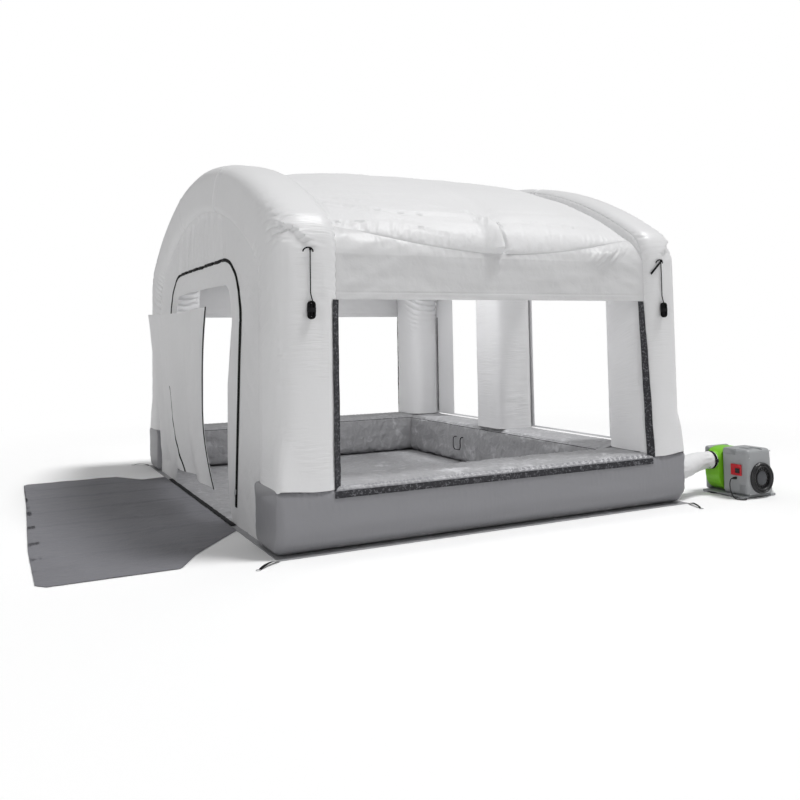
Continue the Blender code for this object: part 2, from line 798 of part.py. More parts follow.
def zip_line():
    """One side of the door zip, from the middle of its top down to the foot."""
    knee_y, knee_z = ZIP_KNEE
    return [(0.0, ZIP_TOP), (0.40, ZIP_TOP), (0.78, ZIP_TOP - 0.01), (0.96, ZIP_TOP - 0.09),
            (1.06, ZIP_TOP - 0.19), (knee_y, knee_z + 0.12), ZIP_KNEE, ZIP_FOOT]


def ribbon(line, width):
    """The outline of a band of one width along a line."""
    sides = [[], []]
    for k, point in enumerate(line):
        before = Vector(line[max(k - 1, 0)])
        after = Vector(line[min(k + 1, len(line) - 1)])
        run = (after - before).normalized()
        across = Vector((-run.y, run.x)) * width / 2
        sides[0].append(tuple(Vector(point) + across))
        sides[1].append(tuple(Vector(point) - across))
    return sides[0] + sides[1][::-1]


def make_end_panels():
    """The cloth walls in the two arches."""
    foot = FLOOR_CLOTH + GAP
    outer = inner_seam(foot)
    opening = door_edge(foot)
    doorway = doorway_outline(outer, opening)
    flat_outline("front_end_panel", [doorway], CLOTH, white_cloth(), wall_frame(FRONT_WALL_X))
    rear = inner_seam(BASE_TOP + GAP)
    rear = rear[:-2]
    half = MID_COLUMN_WIDTH / 2
    holes = []
    for side in (-1, 1):
        holes.append([(side * half, REAR_WINDOW_BOTTOM), (side * REAR_WINDOW_OUT, REAR_WINDOW_BOTTOM),
                      (side * REAR_WINDOW_OUT, REAR_WINDOW_TOP), (side * half, REAR_WINDOW_TOP)])
    sheet = rear + [(-y, z) for y, z in reversed(rear[1:])]
    flat_outline("rear_end_panel", [sheet] + holes, CLOTH, white_cloth(), wall_frame(REAR_WALL_X))


def doorway_outline(outer, opening):
    """One outline for a wall with a doorway that is open at the foot."""
    far_out = outer
    near_out = [(-y, z) for y, z in outer[1:]]
    far_in = opening
    near_in = [(-y, z) for y, z in opening[1:]]
    return near_out[::-1] + far_out + far_in[::-1] + near_in


def zip_ride():
    """How far in front of the end panel's middle the zip tape's front face lies."""
    return CLOTH / 2 + GAP + ZIP_THICK


def flap_surface(u, v):
    """The door flap: u from its hinge at the far jamb to its free edge, v from its foot to its top."""
    z = FLAP_BOTTOM + v * (FLAP_TOP - FLAP_BOTTOM)
    hinge = (FRONT_WALL_X - zip_ride() - HINGE_CLEARANCE, FLAP_HINGE_Y)
    turn = (-(1.68 + 0.12 * v), FLAP_HINGE_Y - 0.02)
    front = (-(1.60 + 0.06 * v), 0.74)
    waist = -0.49 - 0.11 * max(0.0, (z - 0.95) / 0.5) ** 2 - 0.33 * max(0.0, (0.75 - z) / 0.54) ** 2
    edge = (-1.565, waist)
    split = 0.28
    if u < split:
        x, y = bezier(hinge, turn, front, u / split)
    else:
        share = (u - split) / (1 - split)
        x, y = (a + share * (b - a) for a, b in zip(front, edge))
        fold = 0.010 + 0.022 * (1 - v)
        x += fold * math.sin(2 * math.pi * (2.2 * share + 0.15 * v)) * math.sin(math.pi * share)
    droop = 0.02 * math.sin(math.pi * u) * v
    return Vector((x, y, z - droop))


def flap_tape_surface(u, v):
    """The flap's half of the zip, on the outer face of its free edge."""
    inner, edge = flap_surface(1 - 1 / FLAP_COLUMNS, v), flap_surface(1.0, v)
    run = edge - inner
    out = Vector((run.y, -run.x, 0)).normalized()
    return inner.lerp(edge, 0.68 + 0.28 * u) + out * (CLOTH / 2 + ZIP_THICK / 2 + 3 * GAP)


def zip_point(distance, lift):
    """A point on the straight near-side run of the door zip, a distance up from its foot."""
    foot = Vector((0, -ZIP_FOOT[0], ZIP_FOOT[1]))
    knee = Vector((0, -ZIP_KNEE[0], ZIP_KNEE[1]))
    at = foot + (knee - foot).normalized() * distance
    at.x = FRONT_WALL_X - zip_ride() - lift
    return at


def make_door():
    """The zip round the doorway, its slider, and the flap that hangs open at the far jamb."""
    half = zip_line()
    line = half[::-1] + [(-y, z) for y, z in half[1:]]
    tape_x = FRONT_WALL_X - CLOTH / 2 - GAP - ZIP_THICK / 2
    flat_outline("door_zip_tape", [ribbon(line, ZIP_WIDTH)], ZIP_THICK, black_webbing(), wall_frame(tape_x))
    grid_sheet("door_flap", white_cloth(), FLAP_ROWS, FLAP_COLUMNS, flap_surface, thin_side=0.1)
    grid_sheet("flap_zip_tape", black_webbing(), FLAP_ROWS, 1, flap_tape_surface, ZIP_THICK)
    lean = math.atan2(ZIP_KNEE[0] - ZIP_FOOT[0], ZIP_KNEE[1] - ZIP_FOOT[1])
    at = zip_point(SLIDER_START, GAP + SLIDER_SIZE[0] / 2)
    slider = centred_box("zip_slider", at, SLIDER_SIZE, bare_steel(), 0.0015)
    slider.rotation_euler = (lean, 0, 0)
    hung = zip_point(SLIDER_START - TAB_SIZE[2] / 2, SLIDER_SIZE[0] + 2 * GAP + TAB_SIZE[0] / 2)
    tab = centred_box("zip_pull_tab", hung, TAB_SIZE, bare_steel(), 0.0004)
    tab.rotation_euler = (lean, 0, 0)


def centred_box(name, centre, size, mat, bevel=0.0, collection=None):
    half = Vector(size) / 2
    return box(name, Vector(centre) - half, Vector(centre) + half, mat, bevel, collection=collection)


def mat_outline():
    """The entry mat as it lies: a wide sheet with a neck that runs to the sill."""
    near = [(MAT_FAR_X, -1.80), (MAT_FAR_X + 0.05, MAT_NEAR_Y), (MAT_NEAR_X - 0.03, MAT_NEAR_Y),
            (MAT_NEAR_X + 0.10, -1.61), (MAT_NECK_X, -1.49), (MAT_NECK_X + 0.18, -1.26), (MAT_INNER_X, -1.15)]
    far = [(MAT_INNER_X, 1.20), (MAT_NECK_X + 0.07, 1.16), (MAT_NEAR_X + 0.08, MAT_FAR_Y),
           (MAT_FAR_X + 0.10, MAT_FAR_Y), (MAT_FAR_X + 0.07, MAT_FAR_Y - 0.05), (MAT_FAR_X + 0.05, 0.44),
           (MAT_FAR_X, -1.05)]
    return near + far


def base_face(width, height):
    """How far out from its middle line the side of a base tube of a width lies at a height."""
    share = (height - BASE_MID) / BASE_HALF
    u, v = round_square(1, RING_POINTS, BASE_SQUARENESS)
    return width / 2 * (1 - (1 - u) * abs(share) / v)


def make_ground():
    """The floor, the sill and the entry mat."""
    box("floor_sheet", (-HALF_L, -HALF_W, 0), (HALF_L, HALF_W, FLOOR_CLOTH), floor_grey())
    sill_low = max(FLOOR_CLOTH, MAT_THICK) + GAP
    sill_x = FRONT_WALL_X - CLOTH / 2 - GAP
    box("door_sill_strip", (sill_x - SILL_WIDTH, -SILL_HALF, sill_low),
        (sill_x, SILL_HALF, sill_low + SILL_THICK), black_webbing(), 0.002)
    flat_outline("entry_mat", [mat_outline()], MAT_THICK, mat_cloth(), ground_frame(MAT_THICK / 2))


def make_strips():
    """The hook strips round the two side openings."""
    thick = ZIP_THICK
    for name, side in (("near", -1), ("far", 1)):
        lane = sorted((side * (SEAM_Y + GAP), side * (SEAM_Y + GAP + thick)))
        foot = BASE_TOP + GAP
        for place_name, low, high in (("left", SEAM_LEFT + GAP, SEAM_LEFT + GAP + STRIP_WIDTH),
                                      ("right", SEAM_RIGHT - GAP - STRIP_WIDTH, SEAM_RIGHT - GAP)):
            box(f"{name}_{place_name}_hook_strip", (low, lane[0], foot),
                (high, lane[1], OPENING_TOP - GAP), hook_cloth())
        face = MID_Y + base_face(LEG_WIDTH, BASE_TOP - STRIP_DROP)
        lane = sorted((side * (face + GAP), side * (face + GAP + thick)))
        box(f"{name}_sill_hook_strip", (SEAM_LEFT, lane[0], BASE_TOP - STRIP_DROP),
            (SEAM_RIGHT, lane[1], BASE_TOP - STRIP_DROP + STRIP_WIDTH), hook_cloth())


def ring_at(centre, radius, sides=24):
    """A ring of points in the plane across X."""
    return [(centre[0], centre[1] + radius * math.cos(2 * math.pi * k / sides),
             centre[2] + radius * math.sin(2 * math.pi * k / sides)) for k in range(sides)]


def sleeve_at(share):
    """The sleeve's centre and outer radius, a share of the way from the booth to the blower."""
    ease = min(1.0, share / 0.84)
    blend = 3 * ease ** 2 - 2 * ease ** 3
    x = HALF_L + GAP + share * (SLEEVE_END - HALF_L - GAP)
    y = SLEEVE_BOOTH_Y + (VOLUTE_Y - SLEEVE_BOOTH_Y) * blend
    z = SLEEVE_BOOTH_Z + (NOZZLE_Z - SLEEVE_BOOTH_Z) * blend
    return (x, y, z), SLEEVE_BOOTH_RADIUS + (SLEEVE_GRIP - SLEEVE_BOOTH_RADIUS) * ease ** 2


def make_sleeve():
    """The cloth duct from the blower to the booth, and the strap that holds it on the nozzle."""
    outer, inner = [], []
    for share in (0.0, 0.14, 0.28, 0.42, 0.56, 0.70, 0.84, 1.0):
        centre, radius = sleeve_at(share)
        outer.append(ring_at(centre, radius))
        inner.append(ring_at(centre, radius - SLEEVE_WALL))
    hose_loft("inflation_sleeve", outer, inner, white_cloth())
    bands = [[], []]
    for x in (SLEEVE_END - 0.030, SLEEVE_END - 0.006):
        bands[0].append(ring_at((x, VOLUTE_Y, NOZZLE_Z), SLEEVE_GRIP + GAP + 0.0025))
        bands[1].append(ring_at((x, VOLUTE_Y, NOZZLE_Z), SLEEVE_GRIP + GAP))
    hose_loft("sleeve_strap", bands[0], bands[1], black_webbing())


def mesh_of(curve_object):
    """A welded mesh object that takes a curve's place."""
    bpy.context.view_layer.update()
    graph = bpy.context.evaluated_depsgraph_get()
    mesh = bpy.data.meshes.new_from_object(curve_object.evaluated_get(graph))
    bm = bmesh.new()
    bm.from_mesh(mesh)
    bmesh.ops.remove_doubles(bm, verts=bm.verts[:], dist=0.00001)
    bmesh.ops.recalc_face_normals(bm, faces=bm.faces[:])
    bm.to_mesh(mesh)
    bm.free()
    name = curve_object.name
    matrix = curve_object.matrix_world.copy()
    home = curve_object.users_collection[0]
    bpy.data.objects.remove(curve_object, do_unlink=True)
    made = bpy.data.objects.new(name, mesh)
    home.objects.link(made)
    made.matrix_world = matrix
    return made


def turned(name, profile, centre, mat, steps=32):
    """A ring turned about an axis along -Y from a closed profile of (radius, height) points."""
    bm = bmesh.new()
    verts = [bm.verts.new((radius, 0, height)) for radius, height in profile]
    for first, second in zip(verts, verts[1:] + verts[:1]):
        bm.edges.new((first, second))
    mesh = bpy.data.meshes.new(name)
    bm.to_mesh(mesh)
    bm.free()
    made = place(name, mesh, mat)
    made.location = centre
    made.rotation_euler = (math.pi / 2, 0, 0)
    screw = made.modifiers.new("turned", "SCREW")
    screw.steps = steps
    screw.render_steps = steps
    screw.use_merge_vertices = True
    screw.merge_threshold = 0.00001
    screw.use_smooth_shade = False
    return made


def circle(radius, count, centre=(0.0, 0.0)):
    return [(centre[0] + radius * math.cos(2 * math.pi * k / count),
             centre[1] + radius * math.sin(2 * math.pi * k / count)) for k in range(count)]


def polar(radius, angle):
    return BLOWER_X + radius * math.cos(angle), INTAKE_Z + radius * math.sin(angle)


def leaning_block(name, low, high, mat, bevel):
    """A moulded cover whose right side leans in toward its top."""
    made = box(name, low, high, mat, bevel, 3)
    for vert in made.data.vertices:
        if vert.co.z > 0 and vert.co.x > 0:
            vert.co.x -= BLOWER_LEAN
    return made


def make_blower_covers():
    """The front and rear covers on their shared foot."""
    grey = housing_plastic()
    front = BLOWER_FRONT_Y
    cover = leaning_block("blower_front_cover", (COVER_LEFT, front, BLOWER_FLOOR),
                          (COVER_RIGHT, COVER_BACK, BLOWER_TOP), grey, COVER_ROUNDING)
    low = (COVER_LEFT + 2 * SHELL, front + 2 * SHELL, BLOWER_FLOOR + 2 * SHELL)
    high = (COVER_RIGHT - BLOWER_LEAN - 2 * SHELL, COVER_BACK + SHELL, BLOWER_TOP - 4 * SHELL)
    cut(cover, box("front_cover_hollow", low, high, grey, collection=cutters))
    cut(cover, cylinder("intake_bore", (BLOWER_X, front, INTAKE_Z), (0, 1, 0), INTAKE_BORE, 12 * SHELL,
                        grey, 32, cutters))
    cut(cover, box("handle_groove", (BLOWER_X - 0.004, front - SHELL, BLOWER_TOP - 2 * SHELL),
                   (BLOWER_X + 0.032, front + 0.11, BLOWER_TOP + SHELL), grey, 0.004, collection=cutters))
    step = box("side_step", (COVER_LEFT - SHELL, COVER_BACK - 0.13, BLOWER_TOP - 0.045),
               (COVER_LEFT + 2 * SHELL, COVER_BACK + SHELL, BLOWER_TOP + SHELL), grey, collection=cutters)
    cut(cover, step)
    leaning_block("blower_rear_cover", (COVER_LEFT + 2 * SHELL, REAR_Y, BLOWER_FLOOR),
                  (COVER_RIGHT, REAR_Y + REAR_DEPTH, BLOWER_TOP - 2 * SHELL), grey, COVER_ROUNDING * 0.75)
    low = (COVER_LEFT - BASE_SPREAD, front + 3 * SHELL, 0)
    high = (COVER_RIGHT + BASE_SPREAD, REAR_Y + REAR_DEPTH - 3 * SHELL, BLOWER_FLOOR - GAP)
    foot = box("blower_base", low, high, grey, SHELL)
    channels = (("foot_channel_x", -FOOT_SIZE, FOOT_SIZE), ("foot_channel_y", FOOT_SIZE, -FOOT_SIZE))
    for name, inset_x, inset_y in channels:
        cut(foot, box(name, (low[0] + inset_x, low[1] + inset_y, -SHELL),
                      (high[0] - inset_x, high[1] - inset_y, FOOT_HEIGHT), grey, collection=cutters))


def make_volute():
    """The green scroll housing round the fan, with the nozzle that blows into the sleeve."""
    green = green_plastic()
    middle = (VOLUTE_LOW + VOLUTE_HIGH) / 2
    outline = []
    for k in range(36):
        angle = 2 * math.pi * k / 36
        u, v = signed_power(math.cos(angle), 0.75), signed_power(math.sin(angle), 0.75)
        outline.append((BLOWER_X + u * VOLUTE_HALF, middle + v * (VOLUTE_HIGH - VOLUTE_LOW) / 2))
    volute = mesh_of(flat_outline("blower_volute", [outline], VOLUTE_DEPTH, green, side_frame(VOLUTE_Y)))
    rim = volute.modifiers.new("moulded_edge", "BEVEL")
    rim.width = 0.010
    rim.segments = 2
    rim.limit_method = "ANGLE"
    rim.angle_limit = math.radians(60)
    pipe_middle = (NOZZLE_END + BLOWER_X - FAN_RADIUS / 2) / 2
    pipe_length = BLOWER_X - FAN_RADIUS / 2 - NOZZLE_END
    pipe = cylinder("nozzle_pipe", (pipe_middle, VOLUTE_Y, NOZZLE_Z), (1, 0, 0), NOZZLE_RADIUS, pipe_length,
                    green, 24, cutters)
    cut(volute, pipe, "UNION")
    cut(volute, cylinder("fan_cavity", (BLOWER_X, VOLUTE_Y - 2 * SHELL, INTAKE_Z), (0, 1, 0), FAN_CAVITY,
                         VOLUTE_DEPTH, green, 32, cutters))
    cut(volute, cylinder("nozzle_bore", (pipe_middle - SHELL, VOLUTE_Y, NOZZLE_Z), (1, 0, 0),
                         NOZZLE_RADIUS - SHELL, pipe_length, green, 20, cutters))


def make_fan():
    """The intake ring and grille, the motor that the grille carries, its shaft and the fan."""
    face = BLOWER_FRONT_Y - GAP
    thick = INTAKE_THICK
    profile = [(INTAKE_BORE, 0.0), (INTAKE_OUTER, 0.0), (INTAKE_OUTER, thick * 0.5),
               (INTAKE_OUTER - 0.006, thick),
               (INTAKE_BORE + 0.018, thick), (INTAKE_BORE + 0.014, thick * 0.7), (INTAKE_BORE + 0.010, thick),
               (INTAKE_BORE + 0.004, thick), (INTAKE_BORE, thick * 0.6)]
    turned("blower_intake_ring", profile[::-1], (BLOWER_X, face, INTAKE_Z), black_plastic())
    loops = [circle(INTAKE_BORE - GAP, 32, (BLOWER_X, INTAKE_Z))]
    for k in range(GRILLE_SLOTS):
        angle = 2 * math.pi * k / GRILLE_SLOTS
        half = math.pi / GRILLE_SLOTS * 0.55
        loops.append([polar(SLOT_INNER, angle - half), polar(SLOT_OUTER, angle - half),
                      polar(SLOT_OUTER, angle + half), polar(SLOT_INNER, angle + half)])
    flat_outline("blower_intake_grille", loops, GRILLE_THICK, black_plastic(),
                 side_frame(BLOWER_FRONT_Y - GRILLE_THICK / 2))
    cylinder("blower_motor", (BLOWER_X, BLOWER_FRONT_Y + GAP + MOTOR_LENGTH / 2, INTAKE_Z), (0, 1, 0),
             MOTOR_RADIUS, MOTOR_LENGTH, bare_steel(), 24)
    start, end = MOTOR_BACK + 2 * GAP, FAN_Y + FAN_WIDTH / 2 + SHELL
    middle = (BLOWER_X, (start + end) / 2, INTAKE_Z)
    cylinder("blower_motor_shaft", middle, (0, 1, 0), SHAFT_RADIUS, end - start, bare_steel(), 16)
    star = []
    for k in range(FAN_BLADES):
        angle = 2 * math.pi * k / FAN_BLADES
        root, tip = BLADE_THICK / 2 / HUB_RADIUS, BLADE_THICK / 2 / FAN_RADIUS
        star += [polar(HUB_RADIUS, angle - root), polar(FAN_RADIUS, angle - tip),
                 polar(FAN_RADIUS, angle + tip), polar(HUB_RADIUS, angle + root)]
    bore = circle(SHAFT_RADIUS + GAP, 16, (BLOWER_X, INTAKE_Z))
    flat_outline("blower_impeller", [star, bore], FAN_WIDTH, black_plastic(), side_frame(FAN_Y))


def make_switch():
    """The switch box with its rocker."""
    face = COVER_LEFT - GAP
    thick = SWITCH_SIZE[0]
    middle = (face - thick / 2, SWITCH_Y, SWITCH_Z)
    switch = centred_box("blower_switch_box", middle, SWITCH_SIZE, red_plastic(), 0.003)
    depth, rocker_wide, rocker_tall = ROCKER_SIZE
    pocket = (2 * ROCKER_TRAVEL, rocker_wide + 4 * GAP, rocker_tall + 10 * GAP)
    cut(switch, centred_box("rocker_pocket", (face - thick, ROCKER_Y, ROCKER_Z), pocket, red_plastic(),
                            collection=cutters))
    low, high = ROCKER_Z - rocker_tall / 2, ROCKER_Z + rocker_tall / 2
    front = face - thick - depth / 2
    outline = [(front, low), (front + depth, low), (front + depth, high), (front, high),
               (front + depth / 3, ROCKER_Z)]
    flat_outline("blower_switch_rocker", [outline], rocker_wide, black_plastic(), side_frame(ROCKER_Y))


def make_lead():
    """The mains lead: gland, the run round and under the blower, the coil and the plug."""
    gland_mid = COVER_LEFT - GAP - GLAND_LENGTH / 2
    cylinder("blower_cord_gland", (gland_mid, GLAND_Y, GLAND_Z), (-1, 0, 0), GLAND_RADIUS, GLAND_LENGTH,
             black_rubber(), 16, tip=GLAND_RADIUS * 0.7)
    start = Vector((COVER_LEFT - 2 * GAP - GLAND_LENGTH, GLAND_Y, GLAND_Z))
    fall = [start + Vector((-x, y, z)) for x, y, z in LEAD_FALL]
    ground = [Vector((x, y, LEAD_REST)) for x, y in LEAD_GROUND]
    route = smooth_route([start, *fall, *ground], LEAD_POINTS)
    for point in route:
        point.z = max(point.z, LEAD_REST)
    wire("blower_mains_lead", route, LEAD_DIAMETER, black_rubber())

    run = (route[-1] - route[-2]).normalized()
    inward = Vector((-run.y, run.x, 0))
    first = route[-1] + run * GAP
    centre = first + run * LEAD_DIAMETER + inward * COIL_RADIUS
    count = round(COIL_LOOPS * COIL_PART)
    loops = [first]
    for k in range(count + 1):
        angle = 2 * math.pi * k / COIL_PART
        at = centre + (run * math.sin(angle) - inward * math.cos(angle)) * COIL_RADIUS
        at.z = first.z + COIL_STEP * k / COIL_PART
        loops.append(at)
    leave = (loops[-1] - loops[-2]).normalized()
    leave.z = 0
    last = loops[-1]
    tail = [last + leave * reach + Vector((0, 0, drop)) for reach, drop in TAIL]
    loops += smooth_route([last, *tail], 14)[1:]
    wire("blower_lead_coil", loops, LEAD_DIAMETER, black_rubber(), 1)
    report_coil_gap(loops)

    long = PLUG_SIZE[1]
    at = loops[-1] + leave * (GAP + long / 2)
    turn = math.atan2(leave.y, leave.x) - math.pi / 2
    plug = centred_box("blower_plug", (0, 0, 0), PLUG_SIZE, black_rubber(), 0.005)
    plug.location = at
    plug.rotation_euler = (0, 0, turn)
    for side in (-1, 1):
        pin = box(f"plug_pin_{side}", (-PIN_SIZE[0] / 2, -PIN_SIZE[1], -PIN_SIZE[2] / 2),
                  (PIN_SIZE[0] / 2, PIN_SIZE[1], PIN_SIZE[2] / 2), bare_steel(), collection=cutters)
        pin.location = at + leave * (long / 2) + Vector((-leave.y, leave.x, 0)) * side * PIN_SPACING / 2
        pin.rotation_euler = (0, math.pi / 2, turn)
        cut(plug, pin, "UNION")


def report_coil_gap(points):
    """Print the least gap between turns of the coil's tube."""
    least = 1.0
    for k, point in enumerate(points):
        for other in points[k + COIL_PART // 3:]:
            least = min(least, (other - point).length - LEAD_DIAMETER)
    print(f"least gap between the coil's turns: {least * 1000:.2f} mm")


def guy_section(side, x, z, width, thick, clear):
    """One ring of a guy line: a rounded oblong that lies against the leg."""
    ring = []
    for k in range(12):
        u, v = round_square(k, 12, 3.0)
        ring.append((x + u * width / 2, side * (HALF_W + clear + thick / 2 + v * thick / 2), z))
    return ring


def make_guys():
    """The four guy lines, each a strap wound into a bundle that hangs from a sewn patch."""
    wide, thick, tall = PATCH_SIZE
    for name, side_x, side_y, _ in ANCHORS:
        x = GUY_X[side_x > 0]
        patch_y = side_y * (HALF_W + GAP + thick / 2)
        centred_box(f"guy_patch_{name}", (x, patch_y, GUY_TOP), PATCH_SIZE, black_webbing(), 0.001)
        clear = 2 * GAP + thick
        full = GUY_DROP + BUNDLE_LENGTH
        rows = [(0.0, STRAP_WIDTH, STRAP_THICK), (0.03, STRAP_WIDTH, STRAP_THICK),
                (GUY_DROP, STRAP_WIDTH, STRAP_THICK),
                (GUY_DROP + 0.006, BUNDLE_WIDTH * 0.5, BUNDLE_THICK * 0.6),
                (GUY_DROP + 0.018, BUNDLE_WIDTH * 0.85, BUNDLE_THICK),
                (GUY_DROP + 0.045, BUNDLE_WIDTH, BUNDLE_THICK),
                (full - 0.018, BUNDLE_WIDTH * 0.95, BUNDLE_THICK),
                (full - 0.004, BUNDLE_WIDTH * 0.6, BUNDLE_THICK * 0.7),
                (full, BUNDLE_WIDTH * 0.3, BUNDLE_THICK * 0.4)]
        loft(f"guy_line_{name}", [guy_section(side_y, x, GUY_TOP - drop, w, t, clear) for drop, w, t in rows],
             black_webbing(), 50)


def make_anchors():
    """The four ground straps at the corners, each with its ring."""
    for name, side_x, side_y, (run_x, run_y) in ANCHORS:
        run = Vector((run_x, run_y, 0)).normalized()
        across = Vector((-run.y, run.x, 0))
        inset = max(0.0, -side_x * run.x * ANCHOR_WIDTH / 2 / (side_y * run.y)) + 2 * GAP
        corner = Vector((side_x * HALF_L, side_y * HALF_W, 0))
        rings = []
        for k in range(7):
            share = k / 6
            half = ANCHOR_WIDTH / 2 * (1 - 0.35 * share)
            rise = GAP + ANCHOR_RISE * math.sin(math.pi * share)
            at = corner + run * (inset + share * ANCHOR_LENGTH) + Vector((0, 0, rise))
            up = Vector((0, 0, STRAP_THICK if k else STRAP_HEM))
            near_edge, far_edge = at - across * half, at + across * half
            rings.append([near_edge, far_edge, far_edge + up, near_edge + up])
        loft(f"anchor_strap_{name}", rings, black_webbing(), 50)
        centre = corner + run * (inset + ANCHOR_LENGTH + GAP + RING_RADIUS + RING_WIRE / 2)
        loop = [centre + run * x + across * y for x, y in circle(RING_RADIUS, 14)]
        for point in loop:
            point.z = RING_WIRE / 2 + GAP
        wire(f"anchor_ring_{name}", loop, RING_WIRE, bare_steel(), 1, cyclic=True)


def make_trim():
    """The handle on the rear tube and the zip in the rear corner."""
    face = REAR_BASE_X - base_face(REAR_BASE_WIDTH, HANDLE_TOP - HANDLE_THICK) - GAP
    out = face - HANDLE_REACH
    low = HANDLE_TOP - HANDLE_DROP
    half = []
    for x, share, z in ((face, 1.0, HANDLE_TOP), (face - HANDLE_REACH * 0.6, 1.0, HANDLE_TOP),
                        (out, 1.03, HANDLE_TOP - 0.02), (out, 1.05, low + 0.04), (out, 0.9, low + 0.008),
                        (out, 0.6, low)):
        half.append((x, share * HANDLE_HALF, z))
    route = [(x, HANDLE_Y - y, z) for x, y, z in half] + [(x, HANDLE_Y + y, z) for x, y, z in reversed(half)]
    line = smooth_route(route, 22)
    line[-1] = Vector(route[-1])
    wire("inner_handle", line, HANDLE_THICK, black_webbing())
    inside = REAR_WALL_X - CLOTH / 2 - GAP
    box("rear_corner_zip", (inside - ZIP_THICK, REAR_ZIP_Y - REAR_ZIP_WIDTH / 2, REAR_ZIP_LOW),
        (inside, REAR_ZIP_Y + REAR_ZIP_WIDTH / 2, REAR_ZIP_HIGH), black_webbing())


def main():
    start_scene()
    make_base_tubes()
    arch_tube("front_arch_tube", FRONT_X, FRONT_TUBE)
    arch_tube("rear_arch_tube", REAR_X, REAR_TUBE)
    make_post()
    make_cover()
    make_end_panels()
    make_door()
    make_ground()
    make_strips()
    make_sleeve()
    make_blower_covers()
    make_volute()
    make_fan()
    make_switch()
    make_lead()
    make_guys()
    make_anchors()
    make_trim()


main()
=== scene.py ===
"""Looks of the inflatable paint booth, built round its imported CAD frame. Metres, +Z up."""

import bisect
import math

import bmesh
import bpy
from bpy.props import FloatProperty, FloatVectorProperty, PointerProperty
from mathutils import Matrix, Vector, noise


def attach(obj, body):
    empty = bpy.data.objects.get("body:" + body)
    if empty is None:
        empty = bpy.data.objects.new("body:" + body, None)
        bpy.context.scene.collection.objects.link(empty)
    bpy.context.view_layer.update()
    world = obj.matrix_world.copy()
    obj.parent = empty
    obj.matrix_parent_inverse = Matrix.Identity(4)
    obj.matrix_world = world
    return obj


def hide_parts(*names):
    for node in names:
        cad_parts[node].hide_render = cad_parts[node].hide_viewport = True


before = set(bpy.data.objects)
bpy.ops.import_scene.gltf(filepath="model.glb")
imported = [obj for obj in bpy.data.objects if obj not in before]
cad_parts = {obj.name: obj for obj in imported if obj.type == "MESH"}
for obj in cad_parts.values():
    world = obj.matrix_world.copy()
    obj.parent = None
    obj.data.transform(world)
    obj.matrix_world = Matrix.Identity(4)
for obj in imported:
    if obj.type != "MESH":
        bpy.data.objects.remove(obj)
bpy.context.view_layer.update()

bl_info = {
    "name": "Inflatable paint booth",
    "version": (1, 0, 0),
    "blender": (4, 5, 0),
    "location": "View3D > Sidebar > Booth",
    "description": "Dresses the booth's CAD frame in cloth, webbing, moulded plastic and studio light",
    "category": "Add Mesh",
}

# The booth's own sizes. Those that its CAD source also names have the same value there
HALF_L, HALF_W = 1.51, 1.98
ARCH_TOP, CROWN_THICKNESS = 2.51, 0.38
GAP, CLOTH_GAP, ROOF_GAP, EAVE_GAP = 0.0003, 0.0008, 0.0004, 0.0035
FRONT_TUBE, REAR_TUBE, LEG_WIDTH = 0.42, 0.36, 0.46
FRONT_X, REAR_X, REAR_BASE_X, REAR_BASE_WIDTH = -1.30, 1.33, 1.31, 0.40
TUBE_SQUARENESS = 3.4
OUTER_RADIUS, INNER_RADIUS = 3.40, 2.50
BASE_TOP, FLOOR_CLOTH = 0.38, 0.003
SHOULDER_OUT_FALL, SHOULDER_IN_FALL, SHOULDER_DROP = 0.154, 0.160, 0.10
MID_COLUMN_WIDTH = 0.42
CLOTH, DRAWN_CLOTH = 0.004, 0.003     # the CAD source's cloth, and the walls and roof drawn here in its place
SEWN_IN = 0.012     # how far a cloth's edge runs into the tube's seam, so that no light shows between them
EAVE_Z, EAVE_SAG, EAVE_ROLL, OPENING_TOP = 1.87, 0.185, 0.30, 1.43
ROOF_RISE, PLEAT_DEPTH, PLEAT_WIDTH, PLEAT_START = 0.083, 0.090, 0.100, 0.95
ZIP_FOOT, ZIP_KNEE, ZIP_TOP = (1.01, 0.12), (1.12, 1.30), 1.76
ZIP_WIDTH, ZIP_THICK = 0.026, 0.003
WINDOW_OUT, WINDOW_LOW, WINDOW_HIGH = 1.215, 0.395, 1.66
FLAP_TOP, FLAP_FOOT, FLAP_HINGE_Y = 1.44, 0.21, 1.05
STRIP_WIDTH, STRIP_DROP = 0.046, 0.080
BLOWER_X, BLOWER_FRONT_Y, COVER_LEFT = 2.105, -2.10, 1.975
VOLUTE_Y = -1.7967
NOZZLE_Z, SLEEVE_END, SLEEVE_GRIP = 0.250, 1.9414, 0.0636
SLEEVE_START = (-1.86, 0.225, 0.083)
INTAKE_Z = 0.142
LEAD_EXIT = (1.9414, -1.989, 0.138)     # where the mains lead leaves its strain relief
COIL_RADIUS, COIL_RISE = 0.044, 0.0086
GUY_X, GUY_TOP = (-1.31, 1.32), 1.708
CORNERS = (("near_left", -1, -1, (-0.79, -0.61)), ("near_right", 1, -1, (-0.33, -0.94)),
           ("far_left", -1, 1, (-0.75, 0.66)), ("far_right", 1, 1, (0.75, 0.66)))

